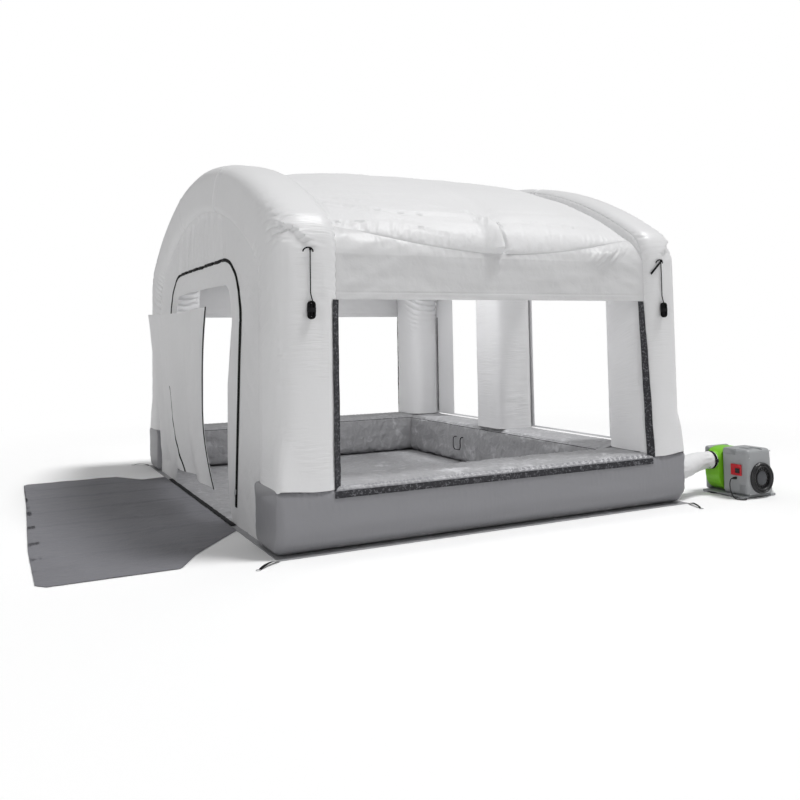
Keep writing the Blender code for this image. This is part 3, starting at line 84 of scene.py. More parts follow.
INNER_Y = HALF_W - LEG_WIDTH
MID_Y = HALF_W - LEG_WIDTH / 2
TUBE_FLOOR = FLOOR_CLOTH + GAP
BASE_MID, BASE_HALF = (TUBE_FLOOR + BASE_TOP) / 2, (BASE_TOP - TUBE_FLOOR) / 2
CORNER = 2 ** (-1 / TUBE_SQUARENESS)
LOW_SHARE = math.sin(math.pi / 8) ** (2 / TUBE_SQUARENESS)
SEAM_LEFT, SEAM_RIGHT = FRONT_X + CORNER * FRONT_TUBE / 2, REAR_X - CORNER * REAR_TUBE / 2
FRONT_WALL_X, REAR_WALL_X = FRONT_X - CORNER * FRONT_TUBE / 2, REAR_X + CORNER * REAR_TUBE / 2
ROOF_HALF = (SEAM_RIGHT - SEAM_LEFT) / 2
SEAM_Y, PANEL_Y = MID_Y + CORNER * LEG_WIDTH / 2, MID_Y - CORNER * LEG_WIDTH / 2

# Places across one side of a tube, closer together toward its two corner seams
ACROSS = (-1, -0.975, -0.94, -0.89, -0.82, -0.73, -0.62, -0.48, -0.32, -0.16, 0,
          0.16, 0.32, 0.48, 0.62, 0.73, 0.82, 0.89, 0.94, 0.975)


def linear(code):
    """A hex sRGB colour as linear red, green, blue and alpha."""
    channels = [int(code[k:k + 2], 16) / 255 for k in (1, 3, 5)]
    return (*[c / 12.92 if c <= 0.04045 else ((c + 0.055) / 1.055) ** 2.4 for c in channels], 1.0)


def tone(name, text, code):
    """A colour property."""
    return FloatVectorProperty(name=name, description=text, default=linear(code), subtype="COLOR", size=4, min=0, max=1)


class BoothSettings(bpy.types.PropertyGroup):
    """Sizes and colours that a user would change."""

    white: tone("White cloth", "Coated cloth of the arches, roof and walls", "#e3e3e4")
    grey: tone("Base cloth", "Heavy coated cloth of the base tubes' outer side", "#8d8d91")
    lining: tone("Lining", "Silver-grey cloth on top of and inside the base, and on the floor", "#cdcdd0")
    mat: tone("Entry mat", "Woven cloth of the mat before the doorway", "#77777c")
    housing: tone("Blower housing", "Moulded plastic of the blower's covers", "#9fa1a3")
    scroll: tone("Fan housing", "Moulded plastic of the green fan housing", "#79c31e")
    switch: tone("Switch box", "Moulded plastic of the switch box", "#c3202c")
    crease: FloatProperty(name="Crease depth", description="Depth of the creases in the roof and walls",
                          default=0.006, min=0, max=0.02, unit="LENGTH")
    pucker: FloatProperty(name="Pucker depth", description="Depth of the puckers along the tubes' seams",
                          default=0.0045, min=0, max=0.01, unit="LENGTH")
    lead: FloatProperty(name="Mains lead", description="Diameter of the blower's mains lead",
                        default=0.0076, min=0.004, max=0.012, unit="LENGTH")
    rope: FloatProperty(name="Guy rope", description="Diameter of the guy ropes",
                        default=0.0065, min=0.003, max=0.010, unit="LENGTH")


# Shared steps of making a piece
def only(made):
    """Select one object alone and make it active."""
    bpy.ops.object.select_all(action="DESELECT")
    made.select_set(True)
    bpy.context.view_layer.objects.active = made


def lay_grid(name, rows, round_about=False, capped=False, looped=False):
    """A mesh through rows of points, with a UV map in metres. round_about joins each row's ends, capped closes
    the first and the last row, and looped joins the last row to the first."""
    height, width = len(rows), len(rows[0])
    flat = [tuple(point) for row in rows for point in row]
    columns = width if round_about else width - 1
    lines = height if looped else height - 1
    faces = []
    for i in range(lines):
        for j in range(columns):
            n, m = (j + 1) % width, (i + 1) % height
            faces.append((i * width + j, i * width + n, m * width + n, m * width + j))
    mesh = bpy.data.meshes.new(name)
    mesh.from_pydata(flat, [], faces)
    down, over = [0.0], [0.0]
    for i in range(lines):
        down.append(down[-1] + math.dist(flat[i * width], flat[(i + 1) % height * width]))
    for j in range(columns):
        over.append(over[-1] + math.dist(flat[j], flat[(j + 1) % width]))
    chart = mesh.uv_layers.new(name="run")
    corners = []
    for i in range(lines):
        for j in range(columns):
            for a, b in ((i, j), (i, j + 1), (i + 1, j + 1), (i + 1, j)):
                corners += (over[b], down[a])
    chart.data.foreach_set("uv", corners)
    bm = bmesh.new()
    bm.from_mesh(mesh)
    if capped:
        bm.verts.ensure_lookup_table()
        bm.faces.new([bm.verts[k] for k in range(width)][::-1])
        bm.faces.new([bm.verts[(height - 1) * width + k] for k in range(width)])
    if round_about:
        bmesh.ops.recalc_face_normals(bm, faces=bm.faces[:])
    bm.to_mesh(mesh)
    bm.free()
    made = bpy.data.objects.new(name, mesh)
    bpy.context.scene.collection.objects.link(made)
    return made


def thicken(made, thick):
    """Give a cloth its thickness, half to each side."""
    only(made)
    wall = made.modifiers.new("cloth", "SOLIDIFY")
    wall.thickness = thick
    wall.offset = 0.0
    bpy.ops.object.modifier_apply(modifier=wall.name)
    return made


def paint(made, finish):
    """Give a piece one finish in place of what it has."""
    made.data.materials.clear()
    made.data.materials.append(bpy.data.materials[finish])


def dress(made, finish, body, nodes=(), degrees=50):
    """Give a piece its finish, its body, and the CAD nodes that it stands for."""
    paint(made, finish)
    only(made)
    bpy.ops.object.shade_smooth_by_angle(angle=math.radians(degrees))
    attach(made, body)
    if nodes:
        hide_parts(*nodes)
    return made


def smoothstep(low, high, value):
    """A soft step from 0 at low to 1 at high."""
    share = min(1.0, max(0.0, (value - low) / (high - low)))
    return share * share * (3 - 2 * share)


def bell(value, middle, width):
    """A bell-shaped bump, 1 at its middle."""
    return math.exp(-((value - middle) / width) ** 2)


def half_wave(place, spacing, shift=0.0):
    """A wave from 0 to 1 along a length, its crests a spacing apart."""
    return 0.5 + 0.5 * math.sin(2 * math.pi * place / spacing + shift)


def drift(size, x, y, z=0.0):
    """Slow, even variation from -1 to 1 that repeats nowhere on the booth."""
    return noise.noise(Vector((x, y, z)) / size)


def sweep(name, stations, profile, looped=False):
    """A closed skin through a profile set at each station of (point, across, out)."""
    rows = [[point + across * a + out * b for a, b in profile] for point, across, out in stations]
    return lay_grid(name, rows, round_about=True, capped=not looped, looped=looped)


def round_profile(radius, sides=12):
    """A circle's points in the two directions of a profile."""
    return [(radius * math.cos(2 * math.pi * k / sides), radius * math.sin(2 * math.pi * k / sides))
            for k in range(sides)]


def strap_profile(width, thick):
    """A webbing's section with its edges rounded."""
    w, t, r = width / 2, thick / 2, min(thick * 0.35, width / 4)
    return [(w, -t + r), (w, t - r), (w - r, t), (0, t), (-w + r, t), (-w, t - r), (-w, -t + r), (-w + r, -t),
            (0, -t), (w - r, -t)]


def carried(points, out):
    """Stations along a line, their across carried on without a twist from the first out direction."""
    points = [Vector(p) for p in points]
    stations = []
    out = Vector(out)
    for k, point in enumerate(points):
        run = (points[min(k + 1, len(points) - 1)] - points[max(k - 1, 0)]).normalized()
        out = (out - run * out.dot(run)).normalized()
        stations.append((point, run.cross(out), out))
    return stations


def along(points, share):
    """The point at a share of the way along a line of points."""
    points = [Vector(p) for p in points]
    steps = [(b - a).length for a, b in zip(points, points[1:])]
    left = share * sum(steps)
    for (a, b), step in zip(zip(points, points[1:]), steps):
        if left <= step:
            return a.lerp(b, left / step)
        left -= step
    return points[-1]


def smooth_route(points, count):
    """Points evenly spaced along a Catmull-Rom curve through a route's own points."""
    points = [Vector(p) for p in points]
    padded = [2 * points[0] - points[1], *points, 2 * points[-1] - points[-2]]
    fine = []
    for p0, p1, p2, p3 in zip(padded, padded[1:], padded[2:], padded[3:]):
        for k in range(12):
            t = k / 12
            fine.append(0.5 * (2 * p1 + (p2 - p0) * t + (2 * p0 - 5 * p1 + 4 * p2 - p3) * t ** 2
                               + (3 * p1 - p0 - 3 * p2 + p3) * t ** 3))
    fine.append(points[-1])
    return [along(fine, k / (count - 1)) for k in range(count)]


# The arches' section line, the same as the CAD source's
def bezier(p0, p1, p2, t):
    """A point on a quadratic curve."""
    return tuple((1 - t) ** 2 * a + 2 * t * (1 - t) * b + t * t * c for a, b, c in zip(p0, p1, p2))


def on_arc(radius, top, y):
    """The height of an arc with its crown at top, at a distance from its middle."""
    return top - radius + math.sqrt(radius * radius - y * y)


INNER_TOP = ARCH_TOP - CROWN_THICKNESS
SHOULDER_OUT_Z = on_arc(OUTER_RADIUS, ARCH_TOP, HALF_W) - SHOULDER_OUT_FALL
SHOULDER_IN_Z = on_arc(INNER_RADIUS, INNER_TOP, INNER_Y) - SHOULDER_IN_FALL


def side_line(t, reach, radius, top, face, shoulder):
    """One side of an arch from the crown (0) over the shoulder (1 to 2) and down the leg (3), as (y, z)."""
    end = (reach, on_arc(radius, top, reach))
    if t <= 1:
        return (t * reach, on_arc(radius, top, t * reach))
    if t <= 2:
        return bezier(end, (face, on_arc(radius, top, face)), (face, shoulder), t - 1)
    return (face, shoulder + (t - 2) * (BASE_TOP + GAP - shoulder))


def between(t, share):
    """A point in the tube's section at a station: share is -1 on the inner side and 1 on the outer."""
    outer = side_line(t, HALF_W - SHOULDER_DROP, OUTER_RADIUS, ARCH_TOP, HALF_W, SHOULDER_OUT_Z)
    inner = side_line(t, INNER_Y - SHOULDER_DROP * 1.3, INNER_RADIUS, INNER_TOP, INNER_Y, SHOULDER_IN_Z)
    return tuple((a + b) / 2 + share * (b - a) / 2 for a, b in zip(inner, outer))


def section(squareness):
    """Points round a tube's section as (u, v, w), w running from one corner seam to the next on each side."""
    points = []
    for turn in range(4):
        for w in ACROSS:
            reach = (1 + abs(w) ** squareness) ** (-1 / squareness)
            u, v = reach, w * reach
            for _ in range(turn):
                u, v = -v, u
            points.append((u, v, w))
    return points


# Finishes
def add(tree, kind, settings=None, inputs=None):
    """Add a node with its settings and with values or links for its inputs."""
    node = tree.nodes.new(kind)
    for name, value in (settings or {}).items():
        setattr(node, name, value)
    for name, value in (inputs or {}).items():
        if isinstance(value, bpy.types.NodeSocket):
            tree.links.new(value, node.inputs[name])
        else:
            node.inputs[name].default_value = value
    return node


def start_finish(name, colour, roughness, metallic=0.0):
    """A new material, its node tree, its shader and its Object coordinates."""
    made = bpy.data.materials.new(name)
    made.use_nodes = True
    made.diffuse_color = colour
    tree = made.node_tree
    shader = tree.nodes["Principled BSDF"]
    shader.inputs["Base Color"].default_value = colour
    shader.inputs["Roughness"].default_value = roughness
    shader.inputs["Metallic"].default_value = metallic
    return tree, shader, add(tree, "ShaderNodeTexCoord")


def shade_of(colour, share):
    """A colour made darker or paler by a share."""
    return (*[c * share for c in colour[:3]], 1.0)


def coated_cloth(name, colour, roughness, crumple_mm, depth_mm, uneven=0.05, gather_mm=0.0, painted_crease_shade=0.0):
    """Coated cloth: a satin plastic face over the weave, with creases where it has been folded and packed, and
    gathers across the tube's run, gather_mm deep, where the air stretches it. painted_crease_shade paints shade into
    the colour of its creases and a painted highlight on their ridges."""
    tree, shader, place = start_finish(name, colour, roughness)
    shader.inputs["IOR"].default_value = 1.48
    shader.inputs["Specular IOR Level"].default_value = 0.45
    broad = add(tree, "ShaderNodeTexNoise", inputs={"Vector": place.outputs["Object"], "Scale": 2.2, "Detail": 3.0})
    tint = add(tree, "ShaderNodeMix", {"data_type": "RGBA"}, {"Factor": broad.outputs["Fac"]})
    tint.inputs[6].default_value = shade_of(colour, 1 - uneven)
    tint.inputs[7].default_value = shade_of(colour, 1 + uneven * 0.5)
    tree.links.new(tint.outputs[2], shader.inputs["Base Color"])
    # Creases of the coating, as wide apart as crumple_mm
    fold = add(tree, "ShaderNodeTexNoise", {"noise_type": "RIDGED_MULTIFRACTAL"},
               {"Vector": place.outputs["Object"], "Scale": 1000 / crumple_mm / 4, "Detail": 3.0, "Distortion": 0.8})
    fine = add(tree, "ShaderNodeTexNoise",
               inputs={"Vector": place.outputs["Object"], "Scale": 1000 / crumple_mm, "Detail": 5.0, "Distortion": 0.5})
    both = add(tree, "ShaderNodeMath", {"operation": "MULTIPLY_ADD"},
               {0: fold.outputs["Fac"], 1: 0.5, 2: fine.outputs["Fac"]})
    # Painted shade: the colour darkens in the creases, and a painted highlight pales it on their ridges
    if painted_crease_shade:
        dark = add(tree, "ShaderNodeMapRange", inputs={"Value": both.outputs["Value"], "From Min": 0.60,
                                                       "From Max": 1.05, "To Min": 1 - painted_crease_shade, "To Max": 1 + painted_crease_shade * 0.3})
        crease_shaded_tint = add(tree, "ShaderNodeVectorMath", {"operation": "SCALE"},
                     {0: tint.outputs[2], "Scale": dark.outputs["Result"]})
        tree.links.new(crease_shaded_tint.outputs["Vector"], shader.inputs["Base Color"])
        shader.inputs["Metallic"].default_value = 0.10
    bump = add(tree, "ShaderNodeBump", inputs={"Height": both.outputs["Value"], "Strength": 1.0,
                                               "Distance": depth_mm / 1000})
    if gather_mm:
        # Gathers 15 mm apart and 150 mm long that come and go along the tube
        stretched = add(tree, "ShaderNodeMapping", inputs={"Vector": place.outputs["UV"], "Scale": (6.5, 65.0, 1.0)})
        gather = add(tree, "ShaderNodeTexNoise", inputs={"Vector": stretched.outputs["Vector"], "Scale": 1.0,
                                                         "Detail": 2.0, "Distortion": 0.3})
        patch = add(tree, "ShaderNodeTexNoise", inputs={"Vector": place.outputs["Object"], "Scale": 3.5, "Detail": 1.0})
        where = add(tree, "ShaderNodeMapRange", {"interpolation_type": "SMOOTHSTEP"},
                    {"Value": patch.outputs["Fac"], "From Min": 0.40, "From Max": 0.62, "To Min": 0.12, "To Max": 1.0})
        height = add(tree, "ShaderNodeMath", {"operation": "MULTIPLY"},
                     {0: gather.outputs["Fac"], 1: where.outputs["Result"]})
        bump = add(tree, "ShaderNodeBump", inputs={"Height": height.outputs["Value"], "Strength": 1.0,
                                                   "Distance": gather_mm / 1000, "Normal": bump.outputs["Normal"]})
    tree.links.new(bump.outputs["Normal"], shader.inputs["Normal"])


def woven_tape(name, colour, pitch_mm, depth_mm, roughness=0.75, fleck=None):
    """Woven nylon: ribs across its run, drawn a little coarser than the real 1.2 mm so that they show. A fleck is
    a paler colour that shows where the hooks are crushed."""
    tree, shader, place = start_finish(name, colour, roughness)
    shader.inputs["Specular IOR Level"].default_value = 0.12
    across = add(tree, "ShaderNodeTexWave", {"bands_direction": "Y"},
                 {"Vector": place.outputs["UV"], "Scale": 1000 / pitch_mm / 20, "Distortion": 0.4, "Detail": 1.0})
    yarn = add(tree, "ShaderNodeTexWave", {"bands_direction": "X"},
               {"Vector": place.outputs["UV"], "Scale": 1000 / pitch_mm / 20, "Distortion": 0.4, "Detail": 1.0})
    weave = add(tree, "ShaderNodeMath", {"operation": "MULTIPLY"},
                {0: across.outputs["Fac"], 1: yarn.outputs["Fac"]})
    wear = add(tree, "ShaderNodeTexNoise", inputs={"Vector": place.outputs["Object"], "Scale": 60.0, "Detail": 4.0})
    lift = add(tree, "ShaderNodeMix", {"data_type": "RGBA"}, {"Factor": wear.outputs["Fac"]})
    lift.inputs[6].default_value = shade_of(colour, 0.75)
    lift.inputs[7].default_value = shade_of(colour, 1.4)
    tint = lift
    if fleck:
        crushed = add(tree, "ShaderNodeTexNoise",
                      inputs={"Vector": place.outputs["Object"], "Scale": 75.0, "Detail": 2.0, "Distortion": 0.6})
        where = add(tree, "ShaderNodeMapRange", inputs={"Value": crushed.outputs["Fac"], "From Min": 0.52,
                                                        "From Max": 0.68})
        tint = add(tree, "ShaderNodeMix", {"data_type": "RGBA"}, {"Factor": where.outputs["Result"],
                                                                  6: lift.outputs[2]})
        tint.inputs[7].default_value = fleck
    tree.links.new(tint.outputs[2], shader.inputs["Base Color"])
    bump = add(tree, "ShaderNodeBump", inputs={"Height": weave.outputs["Value"], "Strength": 0.8,
                                               "Distance": depth_mm / 1000})
    tree.links.new(bump.outputs["Normal"], shader.inputs["Normal"])


def moulded(name, colour, roughness, grain_mm, depth_mm, metallic=0.0):
    """Moulded plastic, rubber or plated metal: an even colour with the tool's fine grain."""
    tree, shader, place = start_finish(name, colour, roughness, metallic)
    grain = add(tree, "ShaderNodeTexNoise",
                inputs={"Vector": place.outputs["Object"], "Scale": 1000 / grain_mm, "Detail": 4.0})
    dust = add(tree, "ShaderNodeTexNoise", inputs={"Vector": place.outputs["Object"], "Scale": 9.0, "Detail": 4.0})
    tint = add(tree, "ShaderNodeMix", {"data_type": "RGBA"}, {"Factor": dust.outputs["Fac"]})
    tint.inputs[6].default_value = shade_of(colour, 0.93)
    tint.inputs[7].default_value = shade_of(colour, 1.05)
    tree.links.new(tint.outputs[2], shader.inputs["Base Color"])
    rough = add(tree, "ShaderNodeMapRange", inputs={"Value": dust.outputs["Fac"], "To Min": roughness - 0.05,
                                                    "To Max": roughness + 0.07})
    tree.links.new(rough.outputs["Result"], shader.inputs["Roughness"])
    bump = add(tree, "ShaderNodeBump", inputs={"Height": grain.outputs["Fac"], "Strength": 0.6,
                                               "Distance": depth_mm / 1000})
    tree.links.new(bump.outputs["Normal"], shader.inputs["Normal"])


class BOOTH_OT_finishes(bpy.types.Operator):
    """Make the finishes, each named for its real material"""

    bl_idname = "booth.finishes"
    bl_label = "Finishes"

    def execute(self, context):
        look = context.scene.booth
        # PVC-coated polyester: smooth satin skin, tight over air, so only shallow creases
        coated_cloth("coated_polyester_tight", look.white, 0.38, 60, 0.8, 0.03, 3.2)
        # The roof's lighter weight of it, stretched between the arches, with sharp packing creases
        coated_cloth("coated_polyester_roof", look.white, 0.52, 36, 3.0, 0.03)
        # The same cloth hanging in one layer: softer, a little darker because it lets light through
        coated_cloth("coated_polyester_slack", shade_of(look.white, 0.86), 0.44, 46, 2.4, 0.04)
        # The end walls and the flap, of two layers, with packing creases
        coated_cloth("coated_polyester_wall", look.white, 0.44, 52, 3.2, 0.04)
        # Heavy PVC tarpaulin of the base
        coated_cloth("pvc_tarpaulin_grey", look.grey, 0.36, 60, 1.6, 0.05, 0.9)
        # Silver-grey laminated lining, crumpled all over, with painted shade in its creases and a painted highlight on
        # their ridges
        coated_cloth("silver_laminate_lining", look.lining, 0.42, 55, 13, 0.10, 0, 0.42)
        # Woven polyester of the mat, dull, with long packing creases
        coated_cloth("woven_polyester_mat", look.mat, 0.60, 48, 6.0, 0.08)
        # Hook tape: dense nylon hooks, so it is dark and has no gloss
        woven_tape("hook_tape_nylon", linear("#38383b"), 3.0, 0.9, 0.9, linear("#707074"))
        # Nylon webbing with a satin yarn
        woven_tape("nylon_webbing_black", linear("#1b1b1d"), 2.0, 0.5, 0.65)
        # Braided guy rope
        woven_tape("braided_rope_black", linear("#161617"), 3.0, 0.6, 0.7)
        # Coil zip on its woven tape
        woven_tape("coil_zip_black", linear("#0a0a0b"), 3.5, 0.8, 0.60)
        # ABS of the blower covers, with the tool's spark-eroded grain
        moulded("abs_moulded_grey", look.housing, 0.42, 1.2, 0.10)
        moulded("abs_moulded_green", look.scroll, 0.34, 1.5, 0.06)
        moulded("nylon_moulded_black", linear("#1d1d1f"), 0.38, 1.2, 0.08)
        moulded("abs_moulded_red", look.switch, 0.30, 1.5, 0.05)
        moulded("pvc_rubber_black", linear("#19191a"), 0.50, 1.0, 0.06)
        moulded("nylon_disc_charcoal", linear("#4a4c50"), 0.42, 1.2, 0.08)
        # Zinc-plated steel: pale, a little uneven
        moulded("zinc_plated_steel", linear("#c9cacc"), 0.28, 2.0, 0.03, 1.0)
        return {"FINISHED"}


# Tubes
def tube_dent(t, run, u, v, w, end, pucker):
    """How far a tube's skin lies inside its full section: puckers at the walls' seams, shoulder folds, slack."""
    out, corner = u * end, 1 - abs(w)
    # The walls' two seams: the end wall's on the outer flank, the roof's and side wall's on the inner one
    sewn = smoothstep(0.15, 0.45, max(-out * v, 0.0))
    ripple = half_wave(run, 0.052, 4 * drift(0.20, run, u, v))
    dent = sewn * pucker * math.exp(-(corner / 0.26) ** 2) * ripple
    dent += sewn * 0.0030 * math.exp(-(corner / 0.030) ** 2)
    # The inner side of the bend is gathered, and the leg's inner side keeps some of it
    inside = smoothstep(0.0, 0.9, -v) * smoothstep(0.70, 1.1, t) * (1 - smoothstep(1.8, 2.5, t))
    dent += 0.011 * inside * half_wave(run, 0.055, 3 * drift(0.2, run, u)) ** 2
    # Folds fan over the shoulder's outer corner from the mitre
    fan = smoothstep(0.20, 0.75, out * v) * smoothstep(0.78, 1.0, t) * (1 - smoothstep(1.55, 1.95, t))
    dent += 0.010 * fan * half_wave(run, 0.070, 3 * drift(0.15, run, v)) ** 4
    # The mitre crease slants over the side face from the corner toward the leg
    if v > 0.5:
        line = 1.38 + 0.75 * (0.80 - out) + 0.06 * drift(0.12, u, run)
        share = smoothstep(0.5, 0.8, v) * smoothstep(-0.5, -0.1, out)
        dent += share * (0.012 * bell(t, line, 0.025) - 0.006 * bell(t, line - 0.09, 0.06))
        dent += share * 0.013 * smoothstep(line - 0.03, line + 0.03, t) * (1 - smoothstep(line + 0.03, line + 0.55, t))
        # Short gathers below the mitre
        small = bell(t, line + 0.10, 0.14) * share
        dent += 0.003 * small * half_wave(u, 0.16, 3 * drift(0.1, run, u)) ** 2
    # Two welded seams across the crown, on each side of the middle
    for at in (0.58, 0.68):
        dent -= 0.0035 * bell(abs(run), at, 0.005) - 0.0050 * bell(abs(run), at + 0.013, 0.008)
    dent += 0.0022 * max(0.0, noise.noise(Vector((run / 0.030, u * 1.6, v * 1.6)))) ** 1.5
    return dent + 0.0040 * (0.5 + 0.5 * drift(0.45, run, u, v))


def arch_skin(name, x_mid, depth, end, pucker):
    """One arch tube with its two legs, tight over its air."""
    shape = section(TUBE_SQUARENESS)
    stations = [k / 120 for k in range(120)] + [1 + k / 72 for k in range(72)] + [2 + k / 84 for k in range(85)]
    stations = sorted(stations + [at + 0.0021 * k for at in (0.312, 0.366) for k in range(-8, 16)])
    rings = {-1: [], 1: []}
    guy = GUY_X[end > 0]
    for side in (-1, 1):
        run, last = 0.0, between(0, 0)
        for t in stations:
            here = between(t, 0)
            run += math.dist(here, last)
            last = here
            width = math.dist(between(t, -1), between(t, 1))
            foot = smoothstep(2.78, 3.0, t)
            ring = []
            for u, v, w in shape:
                if u * end > 0 and v > 0 and foot > 0:
                    square = TUBE_SQUARENESS + 6 * foot
                    reach = (1 + abs(w) ** square) ** (-1 / square) * (1 + abs(w) ** TUBE_SQUARENESS) ** (
                        1 / TUBE_SQUARENESS)
                    u, v = u * reach, v * reach
                dent = tube_dent(t, run * side, u, v, w, end, pucker) * (1 - smoothstep(2.93, 3.0, t))
                dent *= 1 - bell(x_mid + u * depth / 2, guy, 0.05) * smoothstep(0.8, 1, v) * smoothstep(1.9, 2.1, t)
                y, z = between(t, v * (1 - 2 * dent / width))
                # The foot laps down over the base tube's rounded edge
                lap = smoothstep(0.55, 0.97, v) * (0.4 + 0.6 * smoothstep(-0.9, 0.2, -u * end))
                z -= 0.030 * max(lap, 0.8 * smoothstep(0.75, 1.0, u * end)) * smoothstep(2.86, 3.0, t)
                ring.append((x_mid + u * (depth / 2 - dent), side * y, z))
            rings[side].append(ring)
    return lay_grid(name, rings[-1][::-1] + rings[1][1:], round_about=True, capped=True)


class BOOTH_OT_arches(bpy.types.Operator):
    """Make the two arch tubes and the rear post, each an air-tight tube of coated cloth"""

    bl_idname = "booth.arches"
    bl_label = "Arch tubes and post"

    def execute(self, context):
        pucker = context.scene.booth.pucker
        for node, x_mid, depth, end in (("front_arch_tube", FRONT_X, FRONT_TUBE, -1),
                                        ("rear_arch_tube", REAR_X, REAR_TUBE, 1)):
            made = arch_skin("arch_skin_" + node.split("_")[0], x_mid, depth, end, pucker)
            dress(made, "coated_polyester_tight", "booth", [node])
        front, back = HALF_L - REAR_BASE_WIDTH, REAR_WALL_X - CLOTH / 2 - 2 * GAP
        rings = []
        for k in range(121):
            share = k / 120
            ring = []
            for u, v, _ in section(6.5):
                dent = 0.003 * (0.5 + 0.5 * drift(0.3, u, v, share * 2)) * smoothstep(0, 0.03, share)
                dent += 0.0026 * max(0.0, noise.noise(Vector((u, v, share * 48)))) * smoothstep(0, 0.03, share)
                dent += 0.0020 * bell(v, 0, 0.012) * (u < 0)
                y = v * (MID_COLUMN_WIDTH / 2 - dent)
                ceiling = on_arc(INNER_RADIUS, INNER_TOP, abs(y)) - 0.004
                x = (front + back) / 2 + u * ((back - front) / 2 - dent)
                ring.append((x, y, BASE_TOP + GAP + share * (ceiling - BASE_TOP - GAP)))
            rings.append(ring)
        post = lay_grid("post_skin", rings, round_about=True, capped=True)
        dress(post, "coated_polyester_tight", "booth", ["rear_mid_column"])
        return {"FINISHED"}


def base_point(u, v, w, at, outer, pucker):
    """How far a base tube's skin lies inside its full section."""
    seam = 1 - abs(w)
    dent = pucker * math.exp(-(seam / 0.25) ** 2) * half_wave(at, 0.045, 3 * drift(0.3, at, u))
    dent *= smoothstep(-0.2, 0.3, v)
    dent += 0.0022 * math.exp(-(seam / 0.04) ** 2)
    if u * outer > 0.5:
        # Vertical puckers below the opening's strip, and long slack folds along the tube
        dent += 0.0030 * smoothstep(0.0, 0.75, v) * half_wave(at, 0.042, 5 * drift(0.2, at, v))
        dent += 0.007 * bell(v, -0.50 + 0.08 * drift(0.6, at, 0), 0.13) * (0.6 + 0.4 * drift(0.5, at, 3))
        dent += 0.005 * bell(v, 0.20 + 0.10 * drift(0.8, at, 5), 0.15) * (0.5 + 0.5 * drift(0.5, at, 7))
    else:
        # The lining is slack over the inside and the top
        dent += 0.016 * max(0.0, noise.noise(Vector((at / 0.15, u * 2.2, v * 2.2)))) ** 1.2
        dent += 0.014 * abs(noise.noise(Vector((at / 0.055, u * 4, v * 4))))
    return dent + 0.003 * (0.5 + 0.5 * drift(0.5, at, u, v))


def side_base_skin(name, side, pucker):
    """A base tube along the booth's side, its ends rounded and gathered at their corner seams."""
    shape = section(7.0)
    radius = 0.050
    ends = [(radius * (1 - math.cos(math.pi / 2 * k / 9)), radius * (1 - math.sin(math.pi / 2 * k / 9)))
            for k in range(10)]
    stations = [(-HALF_L + inset, shrink) for inset, shrink in ends]
    body = [(-HALF_L + radius + (2 * HALF_L - 2 * radius) * k / 260, 0.0) for k in range(1, 260)]
    stations = stations + body + [(-at, shrink) for at, shrink in reversed(stations)]
    rings = []
    for at, shrink in stations:
        ring = []
        edge = smoothstep(0.0, 0.30, HALF_L - abs(at))
        for u, v, w in shape:
            dent = base_point(u, v, w, at, side, pucker) * (0.3 + 0.7 * edge) * (1 - shrink / radius)
            darts = (1 - edge) * 0.005 * half_wave(v, 0.42) ** 2 * (shrink < radius * 0.98)
            top = smoothstep(0.9, 0.99, v)
            under_leg = smoothstep(-0.02, 0.02, max(SEAM_LEFT - at, at - SEAM_RIGHT))
            dent = (dent + darts * abs(u) ** 4) * (1 - top * under_leg)
            round_in = shrink * (0.25 + 0.75 * (1 - smoothstep(0.3, 1.0, v)) if v > 0 else 1)
            if u * side > 0:
                round_in += 0.045 * smoothstep(-0.30, -1.0, v) ** 1.6
            ring.append((at, side * MID_Y + u * (LEG_WIDTH / 2 - dent - round_in),
                         BASE_MID + v * (BASE_HALF - dent - (shrink if v < 0 else shrink * 0.15))))
        rings.append(ring)
    return lay_grid(name, rings, round_about=True, capped=True)


def line_the_inside(made, outside):
    """Give the lining's finish to the faces that the test doesn't call the tube's outside."""
    made.data.materials.append(bpy.data.materials["silver_laminate_lining"])
    for face in made.data.polygons:
        face.material_index = 0 if outside(face.center, face.normal) else 1


class BOOTH_OT_base_tubes(bpy.types.Operator):
    """Make the three base tubes, tarpaulin outside and lining on top and inside"""

    bl_idname = "booth.base_tubes"
    bl_label = "Base tubes"

    def execute(self, context):
        pucker = context.scene.booth.pucker
        for name, side in (("near", -1), ("far", 1)):
            made = side_base_skin(f"base_skin_{name}", side, pucker)
            dress(made, "pvc_tarpaulin_grey", "booth", [f"base_tube_{name}"])
            line_the_inside(made, lambda at, out, side=side: (side * at.y > HALF_W - 0.045 and side * out.y > 0.45)
                            or at.x < SEAM_LEFT - 0.01 or at.x > SEAM_RIGHT + 0.01 or at.z < 0.012)
        rings = []
        for k in range(181):
            at = (2 * k / 180 - 1) * (INNER_Y - GAP)
            ring = []
            for u, v, w in section(7.0):
                dent = base_point(u, v, w, at, 1, pucker)
                dent *= 1 - smoothstep(0.9, 0.99, v) * (abs(at) < MID_COLUMN_WIDTH / 2 + 0.02)
                ring.append((REAR_BASE_X + u * (REAR_BASE_WIDTH / 2 - dent), at, BASE_MID + v * (BASE_HALF - dent)))
            rings.append(ring)
        rear = lay_grid("base_skin_rear", rings, round_about=True, capped=True)
        dress(rear, "pvc_tarpaulin_grey", "booth", ["base_tube_rear"])
        line_the_inside(rear, lambda at, out: (at.x > HALF_L - 0.045 and out.x > 0.45) or at.z < 0.012)
        return {"FINISHED"}


# The cloth over the arches, sewn to their inner flanks
def seam_point(t):
    """A point of the seam: its inset from the front arch's middle, and its (y, z)."""
    share = LOW_SHARE + (CORNER - LOW_SHARE) * min(1.0, max(0.0, t - 1))
    reach = (1 - share ** TUBE_SQUARENESS) ** (1 / TUBE_SQUARENESS)
    return (reach * FRONT_TUBE / 2, *between(t, share))


